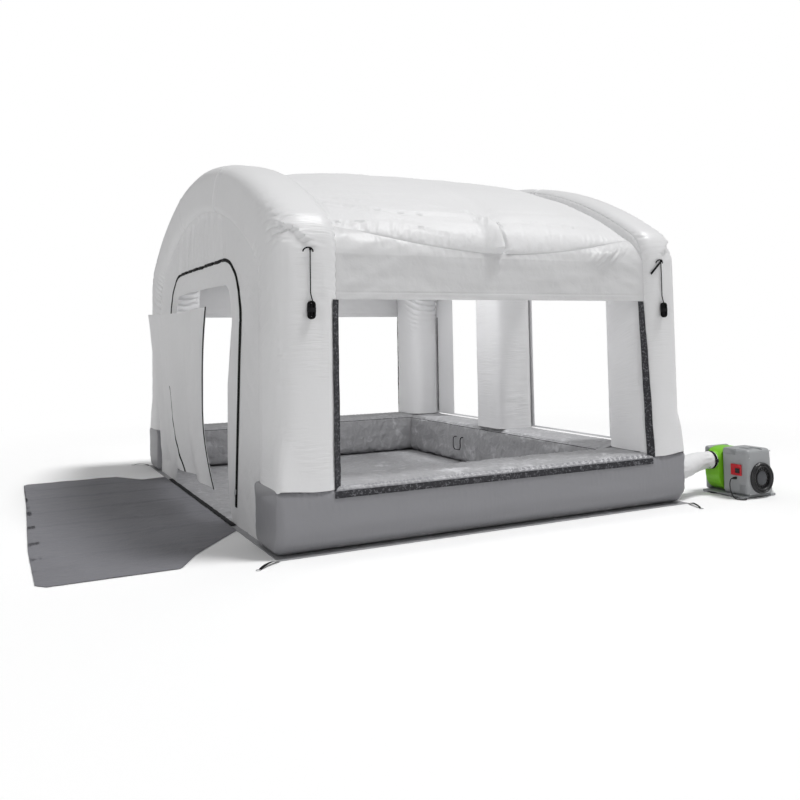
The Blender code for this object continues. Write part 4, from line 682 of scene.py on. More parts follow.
COVER = [seam_point(t) for t in [k / 96 for k in range(96)] + [1 + k / 60 for k in range(61)]]
COVER = [point for point in COVER if point[2] > OPENING_TOP] + [(COVER[-1][0], SEAM_Y, OPENING_TOP)]
COVER_RUN = [0.0]
for first, second in zip(COVER, COVER[1:]):
    COVER_RUN.append(COVER_RUN[-1] + math.dist(first, second))


def on_cover(run):
    """The (inset, y, z) at a distance along the cloth's line from the crown."""
    run = min(max(run, 0.0), COVER_RUN[-1])
    low = min(bisect.bisect_right(COVER_RUN, run), len(COVER_RUN) - 1) - 1
    share = (run - COVER_RUN[low]) / (COVER_RUN[low + 1] - COVER_RUN[low])
    return tuple(a + share * (b - a) for a, b in zip(COVER[low], COVER[low + 1]))


def cover_at(distance):
    """(inset, y, z, outward y, outward z) at a distance along the cloth's line from the crown."""
    before, after = on_cover(distance - 0.02), on_cover(distance + 0.02)
    run_y, run_z = after[1] - before[1], after[2] - before[2]
    size = math.hypot(run_y, run_z)
    return *on_cover(distance), -run_z / size, run_y / size


EAVE_START = next(run + (a[2] - EAVE_Z) / (a[2] - b[2]) * math.dist(a, b)
                  for a, b, run in zip(COVER, COVER[1:], COVER_RUN) if b[2] <= EAVE_Z)


def eave_distance(share):
    """The seam between roof and side wall, dipping to its middle; share is -1 to 1 between the arches."""
    return EAVE_START + EAVE_SAG * (1 - share ** 2)


def across_roof(share, inset):
    """The x at a share of the way between the arches' seams, an inset from the tubes' middles."""
    left = FRONT_X + inset - SEWN_IN
    right = REAR_X - inset * REAR_TUBE / FRONT_TUBE + SEWN_IN
    return (left + right) / 2 + share * (right - left) / 2


def pleat_depth(share, distance):
    """How deep the pleat at the roof's middle is, growing from its start down to the eave."""
    near_eave = max(0.0, min(1.0, (distance - PLEAT_START) / (EAVE_START - PLEAT_START)))
    return PLEAT_DEPTH * near_eave * math.exp(-(share * ROOF_HALF / PLEAT_WIDTH) ** 2)


def roof_shape(share, distance, reach):
    """The roof's rise over its seams: a low vault that rolls over at the eave, with a pleat at its middle."""
    vault = ROOF_RISE * (1 - share ** 4)
    roll = max(0.0, min(1.0, (reach - distance) / EAVE_ROLL)) ** 0.6
    return (vault - pleat_depth(share, distance)) * roll


def bent_line(points, at):
    """The height at a place along a line of points, level past its ends."""
    if at <= points[0][0]:
        return points[0][1]
    for (x0, y0), (x1, y1) in zip(points, points[1:]):
        if at <= x1:
            return y0 + (y1 - y0) * (at - x0) / (x1 - x0)
    return points[-1][1]


# The pleat's line, as (distance from the crown, x), and the star of folds part of the way down it
PLEAT_LINE = ((1.30, -0.040), (1.60, -0.030), (1.84, 0.000), (1.95, 0.015), (2.08, 0.028), (2.25, -0.016))
STAR = (0.000, 1.840)
# Long creases on the roof, each as its (x, distance) points, its width and its share of the crease depth
ROOF_CREASES = ((((-1.12, 1.52), (-0.88, 1.727), (-0.557, 1.826), (-0.10, 1.84)), 0.014, 1.0),
                (((-1.12, 1.44), (-0.80, 1.640), (-0.30, 1.730), (0.04, 1.755)), 0.012, 0.9),
                (((-1.12, 1.36), (-0.70, 1.500), (-0.20, 1.560)), 0.016, 0.7),
                (((-1.12, 1.18), (-0.70, 1.230), (-0.30, 1.250)), 0.018, 0.6),
                (((-1.12, 1.62), (-0.60, 1.900), (-0.10, 1.960)), 0.012, 0.6),
                (((-1.12, 0.82), (-0.20, 0.860), (0.60, 0.840)), 0.020, 0.5),
                (((-0.12, 1.51), (-0.05, 1.68), (0.00, 1.83)), 0.010, 1.0),
                (((0.10, 1.74), (0.60, 1.700), (1.14, 1.60)), 0.018, 0.5),
                (((0.20, 1.86), (0.70, 1.880), (1.16, 1.80)), 0.014, 0.6),
                (((0.10, 1.30), (0.60, 1.330), (1.15, 1.28)), 0.020, 0.5))


def roof_detail(x, share, distance, side, crease):
    """Creases, gathers and the pleat's folds on top of the roof's plain shape."""
    reach = eave_distance(share)
    edge = ROOF_HALF * (1 - abs(share))
    rise = 0.0
    for points, wide, deep in ROOF_CREASES:
        if points[0][0] - 0.1 < x < points[-1][0] + 0.1:
            line = bent_line(points, x) + 0.012 * drift(0.25, x, points[0][1], side)
            fade = smoothstep(points[0][0] - 0.02, points[0][0] + 0.08, x)
            fade *= 1 - smoothstep(points[-1][0] - 0.25, points[-1][0] + 0.05, x)
            off = distance - line
            rise += crease * 1.5 * deep * fade * (bell(off, -wide, wide) * 0.6 - bell(off, wide * 0.5, wide * 0.7))
    # The welded line just above the left eave, and two seams up the right lobe
    line = bent_line(((-1.12, 1.845), (-0.674, 1.934), (-0.296, 2.015)), x)
    weld = smoothstep(-1.14, -1.08, x) * (1 - smoothstep(-0.45, -0.2, x))
    rise += weld * (0.0065 * bell(distance, line, 0.006) - 0.0045 * bell(distance, line + 0.014, 0.008))
    for foot, lean in ((0.160, 0.42), (0.400, 0.30)):
        line = foot + lean * (reach - distance)
        rise += 0.0030 * bell(x, line, 0.006) * smoothstep(0.26, 0.18, reach - distance)
    # The pleat: the left lobe folds over a sharp valley below the star, and short folds lie to its right
    line = bent_line(PLEAT_LINE, distance) + 0.004 * drift(0.06, distance, side)
    below = smoothstep(1.79, 1.88, distance)
    off = x - line
    rise += 0.72 * pleat_depth(share, distance) * (1 - 0.55 * smoothstep(1.95, 2.1, distance))
    rise += below * 0.040 * smoothstep(-0.16, -0.02, off) * (1 - smoothstep(-0.018, 0.006, off))
    rise -= below * 0.030 * bell(off, 0.016, 0.016)
    rise -= 0.016 * bell(math.dist((x, distance), STAR), 0, 0.030)
    for turn, long, deep in ((22, 0.15, 0.013), (40, 0.19, 0.020), (57, 0.20, 0.018), (72, 0.16, 0.012),
                             (125, 0.18, 0.010), (152, 0.20, 0.010), (205, 0.26, 0.012), (232, 0.22, 0.009),
                             (318, 0.16, 0.008)):
        run_x, run_d = math.cos(math.radians(turn)), math.sin(math.radians(turn))
        ahead = (x - STAR[0]) * run_x + (distance - STAR[1]) * run_d
        away = (x - STAR[0]) * run_d - (distance - STAR[1]) * run_x
        if 0 < ahead < long:
            fade = smoothstep(0, 0.02, ahead) * (1 - smoothstep(long * 0.4, long, ahead))
            rise += deep * fade * (0.6 * bell(away, 0.011, 0.008) - bell(away, -0.003, 0.007))
    # Gathers crowd along the eave, and smaller ones along the arches
    crowd = smoothstep(0.15, 0.02, reach - distance) * smoothstep(0, 0.02, reach - distance)
    ripple = noise.noise(Vector(((x + 0.4 * distance) / 0.024, distance / 0.11, side)))
    rise += (0.011 if x < 0 else 0.006) * crowd * ripple
    rise += 0.006 * noise.noise(Vector((distance / 0.030, x / 0.16, side))) * bell(edge, 0.05, 0.06)
    rise += 0.0007 * drift(0.035, x, distance, side) + 0.006 * drift(0.24, x, distance, side)
    return rise * smoothstep(0, 0.05, edge) * smoothstep(0, 0.015, reach - distance)


class BOOTH_OT_roof(bpy.types.Operator):
    """Make the roof cloth between the arches, with its pleat, creases and gathered eaves"""

    bl_idname = "booth.roof"
    bl_label = "Roof"

    def execute(self, context):
        crease = context.scene.booth.crease
        rows = []
        half = 80
        for k in range(-half, half + 1):
            side = -1 if k < 0 else 1
            down = 1 - (1 - abs(k) / half) ** 1.5
            row = []
            for j in range(241):
                share = 2 * j / 240 - 1
                reach = eave_distance(share)
                distance = down * reach
                inset, y, z, out_y, out_z = cover_at(distance)
                x = across_roof(share, inset)
                rise = CLOTH / 2 + ROOF_GAP + roof_shape(share, distance, reach)
                rise += roof_detail(x, share, distance, side * smoothstep(0, 0.12, distance), crease)
                row.append((x, side * (y + out_y * rise), z + out_z * rise))
            rows.append(row)
        roof = thicken(lay_grid("roof_cloth", rows), DRAWN_CLOTH)
        dress(roof, "coated_polyester_roof", "booth", ["roof_panel"])
        return {"FINISHED"}


class BOOTH_OT_side_walls(bpy.types.Operator):
    """Make the strips of wall over the side openings, each with a hem at its foot"""

    bl_idname = "booth.side_walls"
    bl_label = "Side walls"

    def execute(self, context):
        crease = context.scene.booth.crease
        for name, side in (("near", -1), ("far", 1)):
            rows = []
            for k in range(101):
                row = []
                for j in range(241):
                    share = 2 * j / 240 - 1
                    start = eave_distance(share) + EAVE_GAP
                    distance = start + (k / 100) ** 1.3 * (COVER_RUN[-1] - start)
                    inset, y, z, out_y, out_z = cover_at(distance)
                    x = across_roof(share, inset)
                    above = COVER_RUN[-1] - distance
                    edge = ROOF_HALF * (1 - abs(share))
                    slack = smoothstep(0, 0.08, distance - start) * smoothstep(0.0, 0.06, edge)
                    slack *= smoothstep(0.0, 0.04, above + 0.02)
                    wave = 0.010 * drift(0.34, x, distance * 1.6, side) + 0.003 * drift(0.09, x, distance, side)
                    # Long folds slant down from the arches, and a shallow one lies above the hem
                    lean = 0.45 if x < 0 else -0.45
                    fold = noise.noise(Vector((x / 0.55, (above - lean * x) / 0.075, side)))
                    wave += crease * 0.9 * fold * smoothstep(0.35, 0.75, abs(share))
                    wave += crease * 0.5 * noise.noise(Vector((x / 0.40, above / 0.055, side + 4)))
                    # The slack pocket below the right end of the eave, and the pleat's foot hanging over
                    pocket = bell(x, 0.90, 0.13) * bell(distance - start, 0.075, 0.055)
                    wave += pocket * (0.022 + 0.030 * noise.noise(Vector(((x + distance) / 0.040, distance / 0.09, 6))))
                    pleat_foot = bell(x, -0.006 - 0.10 * (distance - start), 0.014)
                    wave += 0.012 * pleat_foot * bell(distance - start, 0.06, 0.05)
                    gather = 0.005 * noise.noise(Vector((x / 0.026, distance / 0.2, side)))
                    gather *= bell(distance, start + 0.03, 0.04) * smoothstep(0.0, 0.04, edge)
                    rise = CLOTH / 2 + 2 * CLOTH_GAP + slack * wave + gather * smoothstep(0, 0.02, distance - start)
                    # The hem: two plies below a stitched groove
                    rise += 0.0008 * smoothstep(0.040, 0.036, above) - 0.0016 * bell(above, 0.041, 0.004)
                    row.append((x, side * (y + out_y * rise), z + out_z * rise))
                rows.append(row)
            wall = thicken(lay_grid(f"side_wall_{name}", rows), DRAWN_CLOTH)
            dress(wall, "coated_polyester_slack", "booth", [f"side_valance_{name}"])
        return {"FINISHED"}


# End walls
def by_run(line, share):
    """The (y, z) at a share of the way along a line."""
    point = along([(0.0, y, z) for y, z in line], share)
    return point.y, point.z


def piecewise(parts, share):
    """The (y, z) at a share of a line given as parts, each with the share at which it ends."""
    low = 0.0
    for line, high in parts:
        if share <= high:
            return by_run(line, (share - low) / (high - low))
        low = high
    return parts[-1][0][-1]


# The front wall's edges, run into the tubes: under the arch, beside the leg and beside the base tube's end
ARCH_EDGE = [between(t, -CORNER) for t in [k / 40 for k in range(41)] + [1 + k / 30 for k in range(1, 31)]]
ARCH_EDGE = [(max(y + SEWN_IN * min(1.0, 3 * y), 0.0), z + SEWN_IN) for y, z in ARCH_EDGE]
LEG_EDGE = [ARCH_EDGE[-1], (PANEL_Y + SEWN_IN, BASE_TOP - SEWN_IN)]
FOOT_EDGE = [LEG_EDGE[-1], (INNER_Y + SEWN_IN, BASE_TOP - SEWN_IN), (INNER_Y + SEWN_IN, TUBE_FLOOR)]
DOOR_HEAD = [(0.0, 1.59), (0.40, 1.588), (0.77, 1.58), (0.83, 1.55), (0.875, 1.48), (0.92, 1.35)]
DOOR_SIDE = [(0.92, 1.35), (0.86, 1.15), (0.80, 0.90), (0.795, 0.6), (0.80, 0.33), (0.84, 0.15), (0.90, TUBE_FLOOR)]

# The folds that fan over the doorway, as (y, lean)
DOOR_FOLDS = ((-0.62, 0.10), (-0.40, 0.06), (-0.10, 0.02), (0.07, -0.02), (0.26, -0.05), (0.44, -0.08), (0.70, -0.14))


def wall_wave(y, z, crease):
    """How far the front wall's cloth lies behind its flat plane: it stays flat along the slider's run."""
    near_slider = bell(abs(y), 1.06, 0.07) * (z < 1.32)
    above_door = smoothstep(1.72, 1.82, z) * smoothstep(1.05, 0.75, abs(y))
    folds = max(0.0, noise.noise(Vector((y / 0.06 + 5, z / 0.9, 0)))) ** 1.3
    wave = crease * 5 * above_door * folds
    for at, lean in DOOR_FOLDS:
        wave += crease * 3.6 * above_door * bell(y, at + lean * (z - 1.9), 0.026 + 0.012 * abs(at))
    wave += crease * 0.9 * (0.5 + 0.5 * drift(0.28, y, z)) + crease * 0.5 * max(0.0, drift(0.08, y, z))
    # Slanting creases between the leg and the zip
    beside = smoothstep(1.12, 1.2, abs(y)) * (z < 1.5)
    wave += crease * 2.0 * beside * max(0.0, noise.noise(Vector((y / 0.5, (z + 0.8 * abs(y)) / 0.07, 4)))) ** 1.2
    return wave * (1 - 0.9 * min(1.0, near_slider))


class BOOTH_OT_end_walls(bpy.types.Operator):
    """Make the front wall round the doorway and the rear wall with its two windows"""

    bl_idname = "booth.end_walls"
    bl_label = "End walls"

    def execute(self, context):
        crease = context.scene.booth.crease
        outer = [(ARCH_EDGE, 0.56), (LEG_EDGE, 0.86), (FOOT_EDGE, 1.0)]
        inner = [(DOOR_HEAD, 0.50), (DOOR_SIDE, 1.0)]
        rows = []
        for k in range(-170, 171):
            share, side = abs(k) / 170, -1 if k < 0 else 1
            door, arch = piecewise(inner, share), piecewise(outer, share)
            row = []
            for j in range(37):
                y, z = (a + (b - a) * j / 36 for a, b in zip(door, arch))
                edge = smoothstep(0, 0.06, min(math.dist((y, z), arch), math.dist((y, z), door) + 0.03))
                row.append((FRONT_WALL_X + edge * wall_wave(side * y, z, crease), side * y, z))
            rows.append(row)
        front = thicken(lay_grid("front_wall", rows), DRAWN_CLOTH)
        dress(front, "coated_polyester_wall", "booth", ["front_end_panel"])

        made = bmesh.new()
        grid = {}
        step = 0.025
        ys = sorted({round(k * step, 4) for k in range(-64, 65)} | {side * v for side in (-1, 1)
                    for v in (MID_COLUMN_WIDTH / 2, WINDOW_OUT, PANEL_Y + SEWN_IN)})
        ys = [y for y in ys if abs(y) <= PANEL_Y + SEWN_IN + 1e-6]
        # Rows of faces below the windows, beside them and above them
        below, beside, over = 2, 48, 19

        def top_at(y):
            line = ARCH_EDGE + LEG_EDGE[1:]
            for (y0, z0), (y1, z1) in zip(line, line[1:]):
                if y0 <= abs(y) <= y1 and y1 > y0:
                    return z0 + (z1 - z0) * (abs(y) - y0) / (y1 - y0)
            return 1.45

        for i, y in enumerate(ys):
            low, high = BASE_TOP + GAP, top_at(y)
            head = WINDOW_HIGH if high > WINDOW_HIGH else high - 0.02
            marks = [low + (WINDOW_LOW - low) * k / below for k in range(below)]
            marks += [WINDOW_LOW + (head - WINDOW_LOW) * k / beside for k in range(beside + 1)]
            above = marks[-1]
            marks += [above + (high - above) * k / over for k in range(1, over + 1)]
            for j, z in enumerate(marks):
                wave = 0.004 * (0.5 + 0.5 * drift(0.25, y, z, 7)) + 0.002 * max(0.0, drift(0.07, y, z, 7))
                edge = smoothstep(0, 0.05, high - z) * smoothstep(0, 0.05, z - low)
                grid[i, j] = made.verts.new((REAR_WALL_X - wave * edge, y, z))
        for i in range(len(ys) - 1):
            middle = abs(ys[i] + ys[i + 1]) / 2
            for j in range(below + beside + over):
                if MID_COLUMN_WIDTH / 2 < middle < WINDOW_OUT and below <= j < below + beside:
                    continue
                made.faces.new((grid[i, j], grid[i + 1, j], grid[i + 1, j + 1], grid[i, j + 1]))
        bmesh.ops.delete(made, geom=[v for v in made.verts if not v.link_faces], context="VERTS")
        mesh = bpy.data.meshes.new("rear_wall")
        made.to_mesh(mesh)
        made.free()
        rear = bpy.data.objects.new("rear_wall", mesh)
        context.scene.collection.objects.link(rear)
        thicken(rear, DRAWN_CLOTH)
        dress(rear, "coated_polyester_wall", "booth", ["rear_end_panel"])
        return {"FINISHED"}


# Door
def side_of(y):
    """-1 on the near side and 1 on the far side."""
    return -1 if y < 0 else 1


def zip_half():
    """One side of the door zip from the middle of its top down to its foot, its bends rounded."""
    top = [(0.0, ZIP_TOP), (0.40, ZIP_TOP), (0.78, ZIP_TOP - 0.01), (0.96, ZIP_TOP - 0.09), (1.06, ZIP_TOP - 0.19),
           (ZIP_KNEE[0], ZIP_KNEE[1] + 0.12), ZIP_KNEE]
    curve = smooth_route([(0.0, y, z) for y, z in top], 90)
    return [(p.y, p.z) for p in curve] + [(ZIP_KNEE[0] + (ZIP_FOOT[0] - ZIP_KNEE[0]) * k / 50,
                                          ZIP_KNEE[1] + (ZIP_FOOT[1] - ZIP_KNEE[1]) * k / 50) for k in range(1, 51)]


class BOOTH_OT_door_zip(bpy.types.Operator):
    """Make the coil zip round the doorway, riding on the front wall's creases"""

    bl_idname = "booth.door_zip"
    bl_label = "Door zip"

    def execute(self, context):
        crease = context.scene.booth.crease
        half = zip_half()
        # Its far half ends behind the flap
        line = [(-y, z) for y, z in half[::-1]] + [(y, z) for y, z in half[1:] if z > FLAP_FOOT + 0.02]
        stations = []
        for k, (y, z) in enumerate(line):
            before, after = line[max(k - 1, 0)], line[min(k + 1, len(line) - 1)]
            run = Vector((0, after[0] - before[0], after[1] - before[1])).normalized()
            lift = FRONT_WALL_X + wall_wave(y, z, crease) - CLOTH / 2 - GAP
            sway = 0.005 * noise.noise(Vector((k / 6, side_of(y), 0))) * (abs(y) > 1.13 or z > 1.34)
            y, z = y + sway * run.z, z - sway * run.y
            stations.append((Vector((lift, y, z)), Vector((-1, 0, 0)).cross(run), Vector((-1, 0, 0))))
        wide, coil = ZIP_WIDTH / 2 + 0.008, 0.008
        profile = [(wide, 0.0002), (wide, 0.0012), (coil + 0.002, 0.0014), (coil, 0.0026), (0, 0.0030), (-coil, 0.0026),
                   (-coil - 0.002, 0.0014), (-wide, 0.0012), (-wide, 0.0002), (0, 0.0)]
        # On the near side, away from the slider, the tape stands up from the wall
        rows = []
        for at, across, out in stations:
            proud = 1 + 1.2 * smoothstep(-0.9, -1.0, at.y)
            narrow = 1.22 - 0.64 * abs(across.z)
            rows.append([at + across * a * narrow + out * b * proud for a, b in profile])
        tape = lay_grid("door_zip", rows, round_about=True, capped=True)
        dress(tape, "coil_zip_black", "booth", ["door_zip_tape"], 35)
        return {"FINISHED"}


def flap_point(u, v, slack=0.0):
    """The door flap: u from its hinge at the far jamb to its free edge, v from its foot to its top."""
    z = FLAP_FOOT + v * (FLAP_TOP - FLAP_FOOT)
    hinge = (FRONT_WALL_X - CLOTH / 2 - GAP - ZIP_THICK - 0.0007, FLAP_HINGE_Y)
    turn = (-(1.62 + 0.18 * v), FLAP_HINGE_Y - 0.02)
    front = (-(1.56 + 0.10 * v), 0.74)
    waist = -0.49 - 0.11 * max(0.0, (z - 0.95) / 0.5) ** 2 - 0.33 * max(0.0, (0.75 - z) / 0.54) ** 2
    if u < 0.28:
        x, y = bezier(hinge, turn, front, u / 0.28)
    else:
        share = (u - 0.28) / 0.72
        x, y = (a + share * (b - a) for a, b in zip(front, (-1.565, waist)))
        fold = 0.010 + 0.022 * (1 - v)
        x += fold * math.sin(2 * math.pi * (2.2 * share + 0.15 * v)) * math.sin(math.pi * share)
    calm = smoothstep(0, 0.06, u) * smoothstep(0, 0.10, 1 - u)
    x += slack * calm * (drift(0.20, y, z, 9) + 0.5 * noise.noise(Vector((y / 0.05, z / 0.4, 2)))
                         + 0.8 * smoothstep(0.35, 0.0, v) * drift(0.09, y, z, 5))
    return Vector((x, y, z - 0.02 * math.sin(math.pi * u) * v))


class BOOTH_OT_door_flap(bpy.types.Operator):
    """Make the door flap that hangs open at the far jamb, its half of the zip, and the tape along its fold"""

    bl_idname = "booth.door_flap"
    bl_label = "Door flap"

    def execute(self, context):
        crease = context.scene.booth.crease
        rows = [[flap_point(j / 130, k / 80, crease) for j in range(131)] for k in range(81)]
        flap = thicken(lay_grid("flap_cloth", rows), 0.0024)
        dress(flap, "coated_polyester_wall", "door_flap", ["door_flap"])
        stations = []
        for k in range(101):
            v = k / 100
            inner, edge = flap_point(1 - 1 / 26, v, crease), flap_point(1.0, v, crease)
            run = edge - inner
            out = Vector((run.y, -run.x, 0)).normalized()
            stations.append((inner.lerp(edge, 0.82) + out * 0.0045, run.normalized(), out))
        tape = sweep("flap_zip", stations, [(0.011, -0.0012), (0.011, 0.0006), (0.004, 0.0008), (0.0025, 0.0022),
                                            (-0.0025, 0.0022), (-0.004, 0.0008), (-0.011, 0.0006), (-0.011, -0.0012)])
        dress(tape, "coil_zip_black", "door_flap", ["flap_zip_tape"], 35)
        stations = []
        for k in range(61):
            v = 0.52 * k / 60
            u = 0.42 + 0.17 * (1 - k / 60) + 0.006 * drift(0.15, k / 60, 3)
            at, beside = flap_point(u, v, crease), flap_point(u + 0.01, v, crease)
            run = (beside - at).normalized()
            out = Vector((run.y, -run.x, 0)).normalized()
            stations.append((at + out * 0.0024, run, out))
        fold = sweep("flap_fold_tape", stations, strap_profile(0.020, 0.002))
        dress(fold, "coil_zip_black", "door_flap", degrees=35)
        return {"FINISHED"}


# Ground
# The mat's x at its outer end, where its outer end's slant stops, and at the sill
MAT_END, MAT_SLANT, MAT_SILL = -2.71, -2.61, -1.5103


def mat_edges(x):
    """The near and far edge of the mat at a distance before the doorway."""
    near = [(MAT_END, -1.80), (-2.66, -1.855), (-2.0, -1.855), (-1.87, -1.61), (-1.78, -1.49), (-1.60, -1.26),
            (MAT_SILL, -1.15)]
    far = [(MAT_END, -1.05), (-2.66, 0.44), (-2.64, 1.38), (MAT_SLANT, 1.43), (-1.89, 1.43), (-1.71, 1.16),
           (MAT_SILL, 1.20)]
    ends = []
    for line in (near, far):
        for (x0, y0), (x1, y1) in zip(line, line[1:]):
            if x0 <= x <= x1:
                share = (x - x0) / (x1 - x0)
                ends.append(y0 + (y1 - y0) * share)
                break
    return ends


class BOOTH_OT_ground_cloths(bpy.types.Operator):
    """Make the floor cloth, the entry mat with its packing creases, and the sill strip"""

    bl_idname = "booth.ground_cloths"
    bl_label = "Floor, mat and sill"

    def execute(self, context):
        rows = []
        xs = [MAT_END + 0.002 * k for k in range(51)]
        xs += [MAT_SLANT + (MAT_SILL - MAT_SLANT) * k / 64 for k in range(1, 65)]
        for x in xs:
            near, far = mat_edges(x)
            row = []
            for k in range(171):
                y = near + (far - near) * k / 170
                edge = smoothstep(0, 0.05, min(y - near, far - y, x - MAT_END + 0.01, MAT_SILL - x + 0.02))
                lift = 0.005 * (0.5 + 0.5 * drift(0.35, x, y)) + 0.010 * max(0.0, drift(0.13, x, y, 2)) ** 1.3
                # Long creases along the booth's length from the mat's packing, and one across
                for at, tilt in ((-1.52, 0.02), (-1.30, -0.03), (-0.86, 0.05), (-0.42, -0.04), (0.10, 0.03),
                                 (0.62, -0.05), (1.08, 0.02)):
                    lift += 0.008 * bell(y, at + tilt * (x + 2.1) + 0.02 * drift(0.5, x, at), 0.012)
                row.append((x, y, 0.0010 + 0.0008 + lift * (0.35 + 0.65 * edge)))
            rows.append(row)
        mat = thicken(lay_grid("entry_mat_cloth", rows), 0.0016)
        dress(mat, "woven_polyester_mat", "booth", ["entry_mat"])

        rows = []
        for j in range(151):
            x = -HALF_L + 2 * HALF_L * j / 150
            row = []
            for k in range(199):
                y = -HALF_W + 2 * HALF_W * k / 198
                inside = smoothstep(0, 0.05, INNER_Y - 0.02 - abs(y)) * smoothstep(-HALF_L + 0.03, -HALF_L + 0.09, x)
                inside *= smoothstep(0, 0.05, HALF_L - REAR_BASE_WIDTH - 0.02 - x)
                lift = 0.016 * abs(drift(0.11, x, y)) + 0.012 * max(0.0, drift(0.30, x, y, 3))
                lift += 0.012 * abs(noise.noise(Vector((x / 0.06, y / 0.06, 8))))
                row.append((x, y, FLOOR_CLOTH / 2 + inside * (lift + 0.001)))
            rows.append(row)
        floor = thicken(lay_grid("floor_cloth", rows), FLOOR_CLOTH - 0.0002)
        dress(floor, "silver_laminate_lining", "booth", ["floor_sheet"])

        stations = []
        for k in range(101):
            y = (2 * k / 100 - 1) * 1.02
            x = FRONT_WALL_X - CLOTH / 2 - GAP - 0.020 + 0.006 * drift(0.07, y, 3)
            stations.append((Vector((x, y, 0.0080 + 0.0012 * drift(0.09, y, 1))), Vector((1, 0, 0)), Vector((0, 0, 1))))
        sill = sweep("door_sill", stations, strap_profile(0.034, 0.0058))
        dress(sill, "nylon_webbing_black", "booth", ["door_sill_strip"], 35)
        return {"FINISHED"}


def leg_face(x, end):
    """How far from the booth's middle line a leg's outer skin lies, at an x on the leg."""
    middle, depth = (FRONT_X, FRONT_TUBE) if end < 0 else (REAR_X, REAR_TUBE)
    share = min(abs(x - middle) / (depth / 2), CORNER)
    return MID_Y + (1 - share ** TUBE_SQUARENESS) ** (1 / TUBE_SQUARENESS) * LEG_WIDTH / 2


class BOOTH_OT_hook_strips(bpy.types.Operator):
    """Make the hook strips round the side openings, stitched down and a little wavy"""

    bl_idname = "booth.hook_strips"
    bl_label = "Hook strips"

    def execute(self, context):
        rib = [(-0.5, 0.0), (-0.5, 0.7), (-0.44, 1.0), (-0.40, 0.45), (-0.36, 1.0), (0.36, 1.0), (0.40, 0.45),
               (0.44, 1.0), (0.5, 0.7), (0.5, 0.0)]
        profile = [(a * STRIP_WIDTH, b * 0.003) for a, b in rib]
        for name, side in (("near", -1), ("far", 1)):
            for end, word in ((-1, "left"), (1, "right")):
                rows = []
                for k in range(121):
                    share = k / 120
                    z = BASE_TOP - 0.036 + share * (OPENING_TOP - BASE_TOP + 0.034)
                    # How far the strip's middle lies on the leg, past the seam: the near right one runs askew
                    onto = 0.017 if end < 0 else 0.014 - 0.034 * share
                    onto = onto if side < 0 else 0.020
                    middle = (SEAM_RIGHT if end > 0 else SEAM_LEFT) + end * (onto + 0.003 * drift(0.13, z, end, side))
                    lift = 0.0012 + 0.0016 * (1 + drift(0.10, z, end, side))
                    rows.append([(middle + a, side * (leg_face(middle + a, end) + lift + b), z) for a, b in profile])
                made = lay_grid(f"hook_strip_{name}_{word}", rows, round_about=True, capped=True)
                dress(made, "hook_tape_nylon", "booth", [f"{name}_{word}_hook_strip"], 35)
            stations = []
            for k in range(141):
                x = SEAM_LEFT - 0.042 + (SEAM_RIGHT + 0.010 - SEAM_LEFT + 0.042) * k / 140
                z = BASE_TOP - STRIP_DROP + STRIP_WIDTH / 2 + 0.001 * drift(0.1, x, 2)
                v = (z - BASE_MID) / BASE_HALF
                face = MID_Y + (1 - v ** 7) ** (1 / 7) * LEG_WIDTH / 2
                y = side * (face + 0.0012 + 0.001 * drift(0.06, x, side))
                stations.append((Vector((x, y, z)), Vector((0, -side * 0.10, 1)).normalized(), Vector((0, side, 0))))
            made = sweep(f"hook_strip_{name}_sill", stations, [(a * 0.84, b) for a, b in profile])
            dress(made, "hook_tape_nylon", "booth", [f"{name}_sill_hook_strip"], 35)
        return {"FINISHED"}


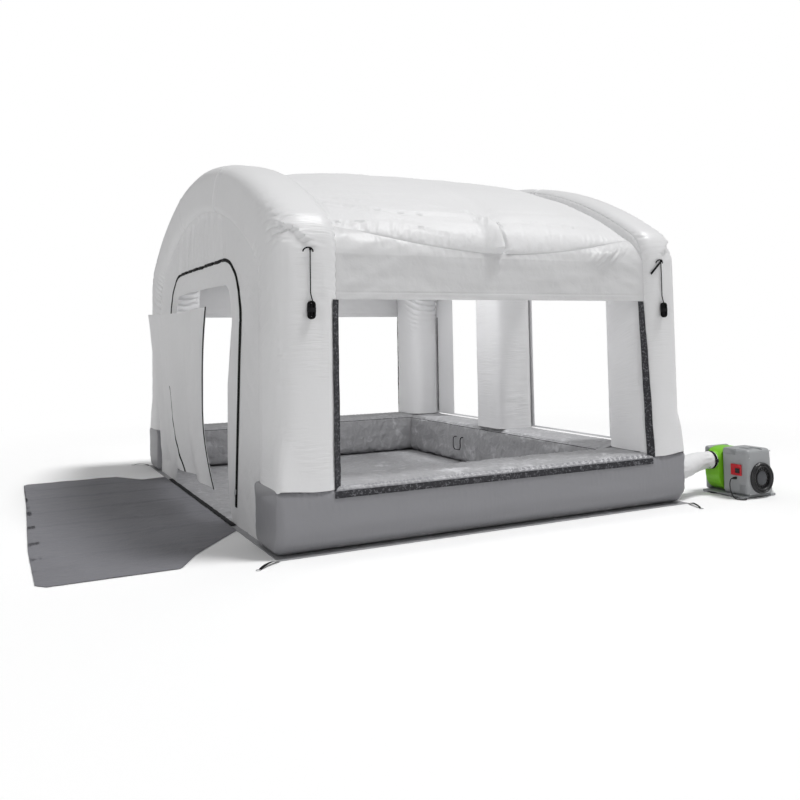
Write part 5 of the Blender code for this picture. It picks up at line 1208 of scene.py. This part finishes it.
# Sleeve and blower
class BOOTH_OT_sleeve(bpy.types.Operator):
    """Make the cloth duct between the booth and the blower, gathered under its strap"""

    bl_idname = "booth.sleeve"
    bl_label = "Inflation sleeve"

    def execute(self, context):
        rows = []
        start_y, start_z, start_radius = SLEEVE_START
        for k in range(61):
            share = k / 60
            ease = min(1.0, share / 0.84)
            blend = 3 * ease ** 2 - 2 * ease ** 3
            x = HALF_L + GAP + share * (SLEEVE_END - HALF_L - GAP)
            y = start_y + (VOLUTE_Y - start_y) * blend
            z = start_z + (NOZZLE_Z - start_z) * blend
            radius = start_radius + (SLEEVE_GRIP - start_radius) * ease ** 2
            calm = smoothstep(0.0, 0.06, share) * (1 - smoothstep(0.86, 0.92, share))
            row = []
            for j in range(72):
                angle = 2 * math.pi * j / 72
                gather = 0.005 * bell(share, 0.80, 0.10) * (0.5 + 0.5 * math.sin(11 * angle + 2 * drift(0.3, share, 0)))
                gather += 0.0035 * bell(share, 0.06, 0.07) * (0.5 + 0.5 * math.sin(13 * angle))
                ring = 0.006 * max(0.0, noise.noise(Vector((share * 9, math.cos(angle), math.sin(angle)))))
                r = radius - calm * (gather + ring + 0.003)
                row.append((x, y + r * math.cos(angle), z + r * math.sin(angle)))
            rows.append(row)
        sleeve = lay_grid("sleeve_cloth", rows, round_about=True)
        thicken(sleeve, 0.0016)
        dress(sleeve, "coated_polyester_wall", "booth", ["inflation_sleeve"])
        stations = []
        for k in range(64):
            angle = 2 * math.pi * k / 64
            out = Vector((0, math.cos(angle), math.sin(angle)))
            at = Vector((SLEEVE_END - 0.018, VOLUTE_Y, NOZZLE_Z)) + out * (SLEEVE_GRIP + 0.0022)
            stations.append((at, Vector((1, 0, 0)), out))
        strap = sweep("sleeve_band", stations, strap_profile(0.024, 0.002), looped=True)
        dress(strap, "nylon_webbing_black", "booth", ["sleeve_strap"], 35)
        # The buckle that closes the band
        buckle = block("band_buckle", (SLEEVE_END - 0.018, VOLUTE_Y - SLEEVE_GRIP - 0.0065, NOZZLE_Z),
                       (0.030, 0.007, 0.026), 0.002)
        dress(buckle, "nylon_moulded_black", "booth", degrees=35)
        return {"FINISHED"}


def block(name, centre, size, bevel=0.0, segments=3):
    """A box at its place and size, with its edges bevelled."""
    bpy.ops.object.select_all(action="DESELECT")
    bpy.ops.mesh.primitive_cube_add(size=1, location=centre, scale=size)
    made = bpy.context.object
    made.name = name
    bpy.ops.object.transform_apply(location=True, rotation=True, scale=True)
    if bevel:
        bpy.ops.object.mode_set(mode="EDIT")
        bpy.ops.mesh.select_all(action="SELECT")
        bpy.ops.mesh.bevel(offset=bevel, segments=segments, affect="EDGES")
        bpy.ops.object.mode_set(mode="OBJECT")
    return made


def barrel(name, centre, radius, depth, axis="Y", sides=32, bevel=0.0):
    """A cylinder along an axis, with its rims bevelled."""
    turn = {"X": (0, math.pi / 2, 0), "Y": (math.pi / 2, 0, 0), "Z": (0, 0, 0)}[axis]
    bpy.ops.object.select_all(action="DESELECT")
    bpy.ops.mesh.primitive_cylinder_add(vertices=sides, radius=radius, depth=depth, location=centre, rotation=turn)
    made = bpy.context.object
    made.name = name
    bpy.ops.object.transform_apply(location=True, rotation=True, scale=True)
    if bevel:
        trim = made.modifiers.new("rim", "BEVEL")
        trim.width = bevel
        trim.segments = 2
        trim.limit_method = "ANGLE"
        bpy.ops.object.modifier_apply(modifier=trim.name)
    return made


def joined(name, pieces):
    """One object from several."""
    bpy.ops.object.select_all(action="DESELECT")
    for piece in pieces:
        piece.select_set(True)
    bpy.context.view_layer.objects.active = pieces[0]
    bpy.ops.object.join()
    pieces[0].name = name
    return pieces[0]


# The finishes of the CAD solids that show as they are
SHELL_FINISHES = {
    "abs_moulded_grey": ("blower_front_cover", "blower_rear_cover", "blower_base"),
    "abs_moulded_green": ("blower_volute",),
    "abs_moulded_red": ("blower_switch_box",),
    "nylon_moulded_black": ("blower_intake_ring", "blower_intake_grille", "blower_impeller", "blower_switch_rocker"),
    "zinc_plated_steel": ("blower_motor", "blower_motor_shaft", "zip_slider", "zip_pull_tab"),
    "nylon_webbing_black": ("inner_handle",),
    "coil_zip_black": ("rear_corner_zip",),
}


class BOOTH_OT_blower_trim(bpy.types.Operator):
    """Make the blower's ribs, screws, feet, disc and ring steps, and finish its moulded parts"""

    bl_idname = "booth.blower_trim"
    bl_label = "Blower"

    def execute(self, context):
        for finish, nodes in SHELL_FINISHES.items():
            for node in nodes:
                paint(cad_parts[node], finish)
        face = BLOWER_FRONT_Y
        disc = barrel("intake_disc", (BLOWER_X, face - 0.0075, INTAKE_Z), 0.050, 0.005, sides=48, bevel=0.0015)
        dress(disc, "nylon_disc_charcoal", "booth", degrees=35)
        rims = []
        for radius, thick in ((0.105, 0.0025), (0.099, 0.0020)):
            bpy.ops.object.select_all(action="DESELECT")
            bpy.ops.mesh.primitive_torus_add(major_radius=radius, minor_radius=thick, major_segments=72,
                                             minor_segments=8, location=(BLOWER_X, face - 0.0195, INTAKE_Z),
                                             rotation=(math.pi / 2, 0, 0))
            rims.append(context.object)
            bpy.ops.object.transform_apply(location=True, rotation=True, scale=True)
        rims = joined("ring_steps", rims)
        dress(rims, "nylon_moulded_black", "booth")
        ribs = [block(f"rib_{k}", (COVER_LEFT - 0.0022, face + 0.030 + 0.012 * k, 0.065),
                      (0.0055, 0.0045, 0.060), 0.001, 2) for k in range(5)]
        ribs += [block(f"top_rib_{k}", (BLOWER_X - 0.075 + 0.016 * k, face + 0.075, 0.351),
                       (0.006, 0.085, 0.004), 0.001, 2) for k in range(3)]
        dress(joined("cover_ribs", ribs), "abs_moulded_grey", "booth", degrees=35)
        heads = []
        for x, z in ((1.990, 0.036), (2.220, 0.036), (1.990, 0.292), (2.204, 0.330)):
            heads.append(barrel("screw", (x, face - 0.0010, z), 0.0045, 0.004, sides=20, bevel=0.0008))
        for y in (face + 0.05, face + 0.19):
            heads.append(barrel("foot_screw", (BLOWER_X - 0.147, y, 0.0185), 0.0045, 0.003, "Z", 20, 0.0008))
        dress(joined("cover_screws", heads), "zinc_plated_steel", "booth", degrees=35)
        pads = [block(f"pad_{x}_{y}", (x, y, 0.003), (0.036, 0.036, 0.006), 0.0015, 2)
                for x in (BLOWER_X - 0.145, BLOWER_X + 0.145) for y in (face + 0.036, face + 0.31)]
        dress(joined("foot_pads", pads), "pvc_rubber_black", "booth", degrees=35)
        return {"FINISHED"}


def lead_route():
    """The mains lead's centreline: the fall from its gland, the turn before the blower, the run under it and the
    coil. Where it goes under, it cuts up to 8 mm into the blower's foot and also into a rubber pad."""
    start = Vector(LEAD_EXIT)
    fall = [start + Vector(step) for step in ((-0.012, 0, 0), (-0.024, -0.001, -0.009), (-0.035, -0.004, -0.032),
                                              (-0.041, -0.010, -0.062), (-0.044, -0.020, -0.092),
                                              (-0.045, -0.036, -0.118), (-0.045, -0.056, -0.131))]
    rest = 0.0042
    ground = [Vector((x, y, rest)) for x, y in ((1.897, -2.070), (1.907, -2.095), (1.932, -2.105), (1.957, -2.095),
                                                (1.973, -2.068), (1.993, -2.026), (2.025, -1.975),
                                                (2.070, -1.915), (2.110, -1.850), (2.150, -1.780), (2.195, -1.715),
                                                (2.255, -1.672), (2.325, -1.660))]
    route = smooth_route([start, *fall, *ground], 64)
    for point in route:
        point.z = max(point.z, rest)
    run = (route[-1] - route[-2]).normalized()
    inward = Vector((-run.y, run.x, 0))
    first = route[-1] + run * GAP
    centre = first + run * 0.0076 + inward * COIL_RADIUS
    loops = [first]
    for k in range(103):
        angle = 2 * math.pi * k / 24
        at = centre + (run * math.sin(angle) - inward * math.cos(angle)) * COIL_RADIUS
        at.z = first.z + COIL_RISE * k / 24
        loops.append(at)
    leave = (loops[-1] - loops[-2]).normalized()
    leave.z = 0
    last = loops[-1]
    tail = [last + leave * reach + Vector((0, 0, drop)) for reach, drop in
            ((0.015, 0), (0.035, -0.002), (0.065, -0.014), (0.095, -0.024), (0.125, -0.028), (0.160, -0.028))]
    return route + loops + smooth_route([last, *tail], 14)[1:], leave


class BOOTH_OT_mains_lead(bpy.types.Operator):
    """Make the blower's mains lead with its tapered strain relief, its coil and its plug"""

    bl_idname = "booth.mains_lead"
    bl_label = "Mains lead"

    def execute(self, context):
        thick = context.scene.booth.lead
        path, leave = lead_route()
        lead = sweep("mains_lead", carried(path, (0, 0, 1)), round_profile(thick / 2, 12))
        dress(lead, "pvc_rubber_black", "booth", ["blower_mains_lead", "blower_lead_coil"])
        # Tapered strain relief with its ribs, 33 mm long
        stations = [(Vector((COVER_LEFT - GAP - 0.033 * k / 22, *LEAD_EXIT[1:])), Vector((0, 1, 0)), Vector((0, 0, 1)))
                    for k in range(23)]
        rows = []
        for k, (at, across, out) in enumerate(stations):
            radius = 0.0092 - 0.0030 * k / 22 + (0.0008 if k % 4 < 2 and k < 20 else 0)
            rows.append([at + across * a + out * b for a, b in round_profile(radius, 20)])
        relief = lay_grid("lead_strain_relief", rows, round_about=True, capped=True)
        dress(relief, "pvc_rubber_black", "booth", ["blower_cord_gland"], 40)
        plug = make_plug(path[-1], leave)
        return {"FINISHED"}


def make_plug(at, leave):
    """A moulded plug with a ribbed neck and two flat pins, lying on the ground."""
    turn = math.atan2(leave.y, leave.x) - math.pi / 2
    body = block("plug_body", (0, 0.030, 0), (0.034, 0.038, 0.022), 0.006, 4)
    neck = [barrel(f"neck_{k}", (0, 0.0035 + 0.003 * k, 0), 0.0075 - 0.0003 * (k % 2) * 4, 0.003, sides=20)
            for k in range(4)]
    pins = [block(f"pin_{side}", (side * 0.00635, 0.058, 0), (0.0015, 0.018, 0.0065), 0.0003, 1) for side in (-1, 1)]
    for pin in pins:
        pin.data.materials.append(bpy.data.materials["zinc_plated_steel"])
    for piece in (body, *neck):
        piece.data.materials.append(bpy.data.materials["pvc_rubber_black"])
    plug = joined("mains_plug", [body, *neck, *pins])
    plug.data.transform(Matrix.Translation(at) @ Matrix.Rotation(turn, 4, "Z"))
    only(plug)
    bpy.ops.object.shade_smooth_by_angle(angle=math.radians(35))
    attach(plug, "booth")
    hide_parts("blower_plug")
    return plug


# Guy ropes and ground straps
ROPE_Y = HALF_W + 0.0066
HANK_MIDDLE, HANK_HALF, HANK_TURNS = 1.366, 0.029, 7


def hank_path(x, side, thick):
    """A guy rope's centreline: straight down from its loop, then seven long turns, first in an inner layer and then
    in an outer one."""
    inner, outer = 0.0136, 0.0202
    path = [(x, ROPE_Y, 1.704 - 0.234 * k / 12) for k in range(13)]
    path += [(x + inner * smoothstep(1.47, 1.40, z), ROPE_Y + 0.0012 * smoothstep(1.47, 1.42, z), z)
             for z in (1.455, 1.442, 1.429, 1.416, 1.403)]
    for k in range(16 * HANK_TURNS):
        turn = (k + 0.5) / 16
        angle = math.pi / 2 + 2 * math.pi * turn
        radius = inner + (outer - inner) * smoothstep(3.3, 3.7, turn)
        depth = thick * 1.01 * min(turn, HANK_TURNS - turn)
        level = HANK_MIDDLE + math.copysign(HANK_HALF, math.cos(angle))
        path.append((x + radius * math.sin(angle), ROPE_Y + 0.0012 + depth, level + radius * math.cos(angle)))
    return [Vector((at_x, side * at_y, at_z)) for at_x, at_y, at_z in path]


class BOOTH_OT_guy_ropes(bpy.types.Operator):
    """Make the four guy ropes, each hanging from a sewn loop and wound into a hank held by a tie"""

    bl_idname = "booth.guy_ropes"
    bl_label = "Guy ropes"

    def execute(self, context):
        thick = context.scene.booth.rope
        for name, end, side, _ in CORNERS:
            x, body = GUY_X[end > 0], f"guy_line_{name}"
            # The sewn loop: an arch of webbing, its two feet stitched to the leg
            stations = []
            for k in range(25):
                run_x, run_z = math.cos(math.pi * k / 24), math.sin(math.pi * k / 24)
                at = Vector((x - 0.012 + 0.030 * run_x, side * (HALF_W + 0.003 + 0.006 * run_z), GUY_TOP - 0.012
                             + 0.024 * run_z))
                stations.append((at, Vector((0, side, 0)), Vector((run_x, 0, run_z))))
            loop = sweep(f"guy_loop_{name}", stations, strap_profile(0.005, 0.008))
            if name == "near_right":
                # Its webbing is longer here: the end folds over and points down toward the roof
                end_run = [(Vector((x - 0.002 - 0.0062 * k, -(HALF_W + 0.014 - 0.0006 * k),
                                    GUY_TOP + 0.004 - 0.0062 * k)),
                            Vector((0.70, 0, -0.70)), Vector((0, -1, 0))) for k in range(16)]
                loop = joined(loop.name, [loop, sweep("loop_end", end_run, strap_profile(0.016, 0.003))])
            dress(loop, "nylon_webbing_black", "booth", [f"guy_patch_{name}"], 35)
            path = hank_path(x, side, thick)
            rope = sweep(f"guy_rope_{name}", carried(path, (0, side, 0)), round_profile(thick / 2, 8))
            dress(rope, "braided_rope_black", body, [body])
            # The knot on the loop
            knot = []
            for shift, tilt in ((-0.003, 0.5), (0.003, -0.5)):
                ring = []
                for k in range(16):
                    out = Vector((0.3 * tilt, side * math.cos(math.pi * k / 8), math.sin(math.pi * k / 8)))
                    at = Vector((x + shift, side * (HALF_W + 0.0105), GUY_TOP + 0.005)) + out * 0.0062
                    ring.append((at, Vector((1, 0, 0)), out))
                knot.append(sweep("knot", ring, round_profile(thick / 2, 8), looped=True))
            knot = dress(joined(f"guy_knot_{name}", knot), "braided_rope_black", body)
            # The tie: a flat band round the hank's waist
            deep = thick * 1.01 * HANK_TURNS / 4
            stations = []
            for k in range(48):
                angle = 2 * math.pi * k / 48
                out = Vector((math.cos(angle), side * math.sin(angle), 0))
                reach_x = math.copysign(abs(math.cos(angle)) ** 0.6, math.cos(angle)) * 0.0242
                reach_y = math.copysign(abs(math.sin(angle)) ** 0.6, math.sin(angle)) * (deep + 0.0042)
                at = Vector((x + reach_x, side * (ROPE_Y + 0.0012 + deep + reach_y), HANK_MIDDLE))
                stations.append((at, Vector((0, 0, 1)), out))
            band = sweep("band", stations, strap_profile(0.024, 0.0016), looped=True)
            # The tie's tail, tucked into the hank
            tail = [(Vector((x, side * (ROPE_Y + 0.0012 + deep), HANK_MIDDLE - 0.036 + 0.006 * k)), Vector((1, 0, 0)),
                     Vector((0, side, 0))) for k in range(13)]
            tie = joined(f"guy_tie_{name}", [band, sweep("tail", tail, strap_profile(0.0150, 0.0150))])
            dress(tie, "nylon_webbing_black", body, degrees=35)
        return {"FINISHED"}


class BOOTH_OT_ground_straps(bpy.types.Operator):
    """Make the four webbing ground straps, each folded back round its ring"""

    bl_idname = "booth.ground_straps"
    bl_label = "Ground straps"

    def execute(self, context):
        for name, end, side, (run_x, run_y) in CORNERS:
            run = Vector((run_x, run_y, 0)).normalized()
            across = Vector((-run.y, run.x, 0))
            inset = max(0.0, -end * run.x * 0.0125 / (side * run.y)) + 2 * GAP
            corner = Vector((end * HALF_L, side * HALF_W, 0))
            rows = []
            for k in range(41):
                share = k / 40
                half = 0.0125 * (1 - 0.35 * share)
                rise = 0.0016 + 0.014 * math.sin(math.pi * share) + 0.0012 * math.sin(9 * share)
                fold = 0.0010 * smoothstep(0.60, 0.63, share)
                at = corner + run * (inset + 0.0005 + share * 0.164) + Vector((0, 0, rise))
                lean = across + Vector((0, 0, 0.12 * math.sin(5 * share)))
                rows.append([at + lean * a + Vector((0, 0, b)) for a, b in strap_profile(2 * half, 0.0018 + fold)])
            strap = lay_grid(f"ground_strap_{name}", rows, round_about=True, capped=True)
            body = f"anchor_strap_{name}"
            dress(strap, "nylon_webbing_black", body, [body], 35)
            paint(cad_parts[f"anchor_ring_{name}"], "zinc_plated_steel")
        return {"FINISHED"}


class BOOTH_OT_piping(bpy.types.Operator):
    """Make the dark seam piping along the base tubes' inner edges"""

    bl_idname = "booth.piping"
    bl_label = "Seam piping"

    def execute(self, context):
        bead = []
        inner_x, inner_y, top = HALF_L - REAR_BASE_WIDTH, INNER_Y, BASE_TOP - 0.030
        runs = [[Vector((-HALF_L + 0.05 + (inner_x + HALF_L - 0.05) * k / 80, side * (inner_y - 0.001), top))
                 for k in range(81)] for side in (-1, 1)]
        runs.append([Vector((inner_x - 0.001, (2 * k / 100 - 1) * inner_y, top)) for k in range(101)])
        for k, run in enumerate(runs):
            for point in run:
                point.z += 0.003 * drift(0.2, point.x, point.y)
            bead.append(sweep(f"bead_{k}", carried(run, (0, 0, 1)), round_profile(0.0022, 6)))
        dress(joined("base_seam_piping", bead), "nylon_webbing_black", "booth")
        return {"FINISHED"}


def add_lamp(name, kind, strength, at):
    """A light at its place."""
    light = bpy.data.lights.new(name, kind)
    light.energy = strength
    lamp = bpy.data.objects.new(name, light)
    bpy.context.scene.collection.objects.link(lamp)
    lamp.location = at
    return lamp


# The camera's place, and its yaw, pitch and roll in degrees, as fitted to the photograph
CAMERA_AT, CAMERA_TURN = (-2.942, -6.366, 1.209), (26.628, 3.359, -0.931)


class BOOTH_OT_stage(bpy.types.Operator):
    """Make the pale floor, the soft studio light and the camera at the photograph's angle"""

    bl_idname = "booth.stage"
    bl_label = "Floor, light and camera"

    def execute(self, context):
        bpy.ops.object.select_all(action="DESELECT")
        bpy.ops.mesh.primitive_plane_add(size=120, location=(0, 0, -0.0006))
        floor = context.object
        floor.name = "studio_floor"
        tree, shader, place = start_finish("studio_floor_white", linear("#fbfbfb"), 0.85)
        path = add(tree, "ShaderNodeLightPath")
        distance = add(tree, "ShaderNodeVectorMath", {"operation": "LENGTH"}, {0: place.outputs["Object"]})
        away = add(tree, "ShaderNodeMapRange", {"interpolation_type": "SMOOTHSTEP"},
                   {"Value": distance.outputs["Value"], "From Min": 3.2, "From Max": 7.0})
        seen = add(tree, "ShaderNodeMath", {"operation": "MULTIPLY"},
                   {0: path.outputs["Is Camera Ray"], 1: away.outputs["Result"]})
        # Only the camera sees the floor as white; for the light that it throws on the booth it is a little darker
        paint = add(tree, "ShaderNodeMix", {"data_type": "RGBA"}, {"Factor": path.outputs["Is Camera Ray"]})
        paint.inputs[6].default_value = linear("#e2e2e2")
        paint.inputs[7].default_value = linear("#fbfbfb")
        tree.links.new(paint.outputs[2], shader.inputs["Base Color"])
        glow = add(tree, "ShaderNodeEmission", inputs={"Color": (1, 1, 1, 1), "Strength": 1.0})
        mix = add(tree, "ShaderNodeMixShader", inputs={0: seen.outputs["Value"], 1: shader.outputs["BSDF"],
                                                       2: glow.outputs["Emission"]})
        tree.links.new(mix.outputs["Shader"], tree.nodes["Material Output"].inputs["Surface"])
        floor.data.materials.append(bpy.data.materials["studio_floor_white"])

        world = context.scene.world or bpy.data.worlds.new("studio")
        context.scene.world = world
        world.use_nodes = True
        tree = world.node_tree
        tree.nodes.clear()
        path = add(tree, "ShaderNodeLightPath")
        clear = add(tree, "ShaderNodeMath", {"operation": "MAXIMUM"},
                    {0: path.outputs["Is Camera Ray"], 1: path.outputs["Is Transmission Ray"]})
        strength = add(tree, "ShaderNodeMapRange", inputs={"Value": clear.outputs["Value"], "To Min": 0.38,
                                                           "To Max": 1.0})
        sky = add(tree, "ShaderNodeBackground", inputs={"Color": (1, 1, 1, 1), "Strength": strength.outputs["Result"]})
        out = add(tree, "ShaderNodeOutputWorld")
        tree.links.new(sky.outputs["Background"], out.inputs["Surface"])

        for name, place_at, angle, strength in (("key_sun", (1.2, -0.6, 3.0), 14, 2.15),
                                                ("fill_sun", (-4.0, -2.0, 1.5), 12, 0.26),
                                                ("strip_sun", (-0.6, -4.9, 0.35), 3, 0.12)):
            lamp = add_lamp(name, "SUN", strength, place_at)
            lamp.data.angle = math.radians(angle)
            lamp.rotation_mode = "QUATERNION"
            lamp.rotation_quaternion = Vector(place_at).to_track_quat("Z", "Y")
        # A soft panel under the roof, shining down, stands for the light that comes through the cloth
        lamp = add_lamp("inside_panel", "AREA", 35, (0.0, 0.0, 2.02))
        lamp.data.shape, lamp.data.size, lamp.data.size_y = "RECTANGLE", 2.1, 2.6
        lamp.visible_camera = lamp.visible_glossy = False

        # The camera stands where the photograph's did: 6.4 m from the booth's middle line and 1.2 m above the ground
        yaw, pitch, roll = (math.radians(a) for a in CAMERA_TURN)
        ahead = Vector((math.sin(yaw) * math.cos(pitch), math.cos(yaw) * math.cos(pitch), math.sin(pitch)))
        right = Vector((math.cos(yaw), -math.sin(yaw), 0))
        up = right.cross(ahead)
        right, up = math.cos(roll) * right + math.sin(roll) * up, -math.sin(roll) * right + math.cos(roll) * up
        lens = bpy.data.cameras.new("camera")
        lens.lens = 37.196
        lens.sensor_width = 36.0
        lens.shift_y = -0.13994
        camera = bpy.data.objects.new("camera", lens)
        context.scene.collection.objects.link(camera)
        camera.matrix_world = Matrix((right, up, -ahead)).transposed().to_4x4()
        camera.location = CAMERA_AT
        context.scene.camera = camera
        context.scene.view_settings.view_transform = "Standard"
        return {"FINISHED"}


OPERATORS = (BOOTH_OT_finishes, BOOTH_OT_stage, BOOTH_OT_mains_lead, BOOTH_OT_guy_ropes, BOOTH_OT_arches,
             BOOTH_OT_base_tubes, BOOTH_OT_roof, BOOTH_OT_side_walls, BOOTH_OT_end_walls, BOOTH_OT_door_zip,
             BOOTH_OT_door_flap, BOOTH_OT_ground_cloths, BOOTH_OT_hook_strips, BOOTH_OT_sleeve,
             BOOTH_OT_blower_trim, BOOTH_OT_ground_straps, BOOTH_OT_piping)


class BOOTH_PT_panel(bpy.types.Panel):
    """The booth's sizes, colours and pieces"""

    bl_idname = "BOOTH_PT_panel"
    bl_label = "Inflatable paint booth"
    bl_space_type = "VIEW_3D"
    bl_region_type = "UI"
    bl_category = "Booth"

    def draw(self, context):
        for name in BoothSettings.__annotations__:
            self.layout.prop(context.scene.booth, name)
        for operator in OPERATORS:
            self.layout.operator(operator.bl_idname)


def register():
    for kind in (BoothSettings, *OPERATORS, BOOTH_PT_panel):
        bpy.utils.register_class(kind)
    bpy.types.Scene.booth = PointerProperty(type=BoothSettings)


def unregister():
    del bpy.types.Scene.booth
    for kind in reversed((BoothSettings, *OPERATORS, BOOTH_PT_panel)):
        bpy.utils.unregister_class(kind)


def main():
    register()
    for operator in OPERATORS:
        group, name = operator.bl_idname.split(".")
        getattr(getattr(bpy.ops, group), name)()


if __name__ == "__main__":
    main()
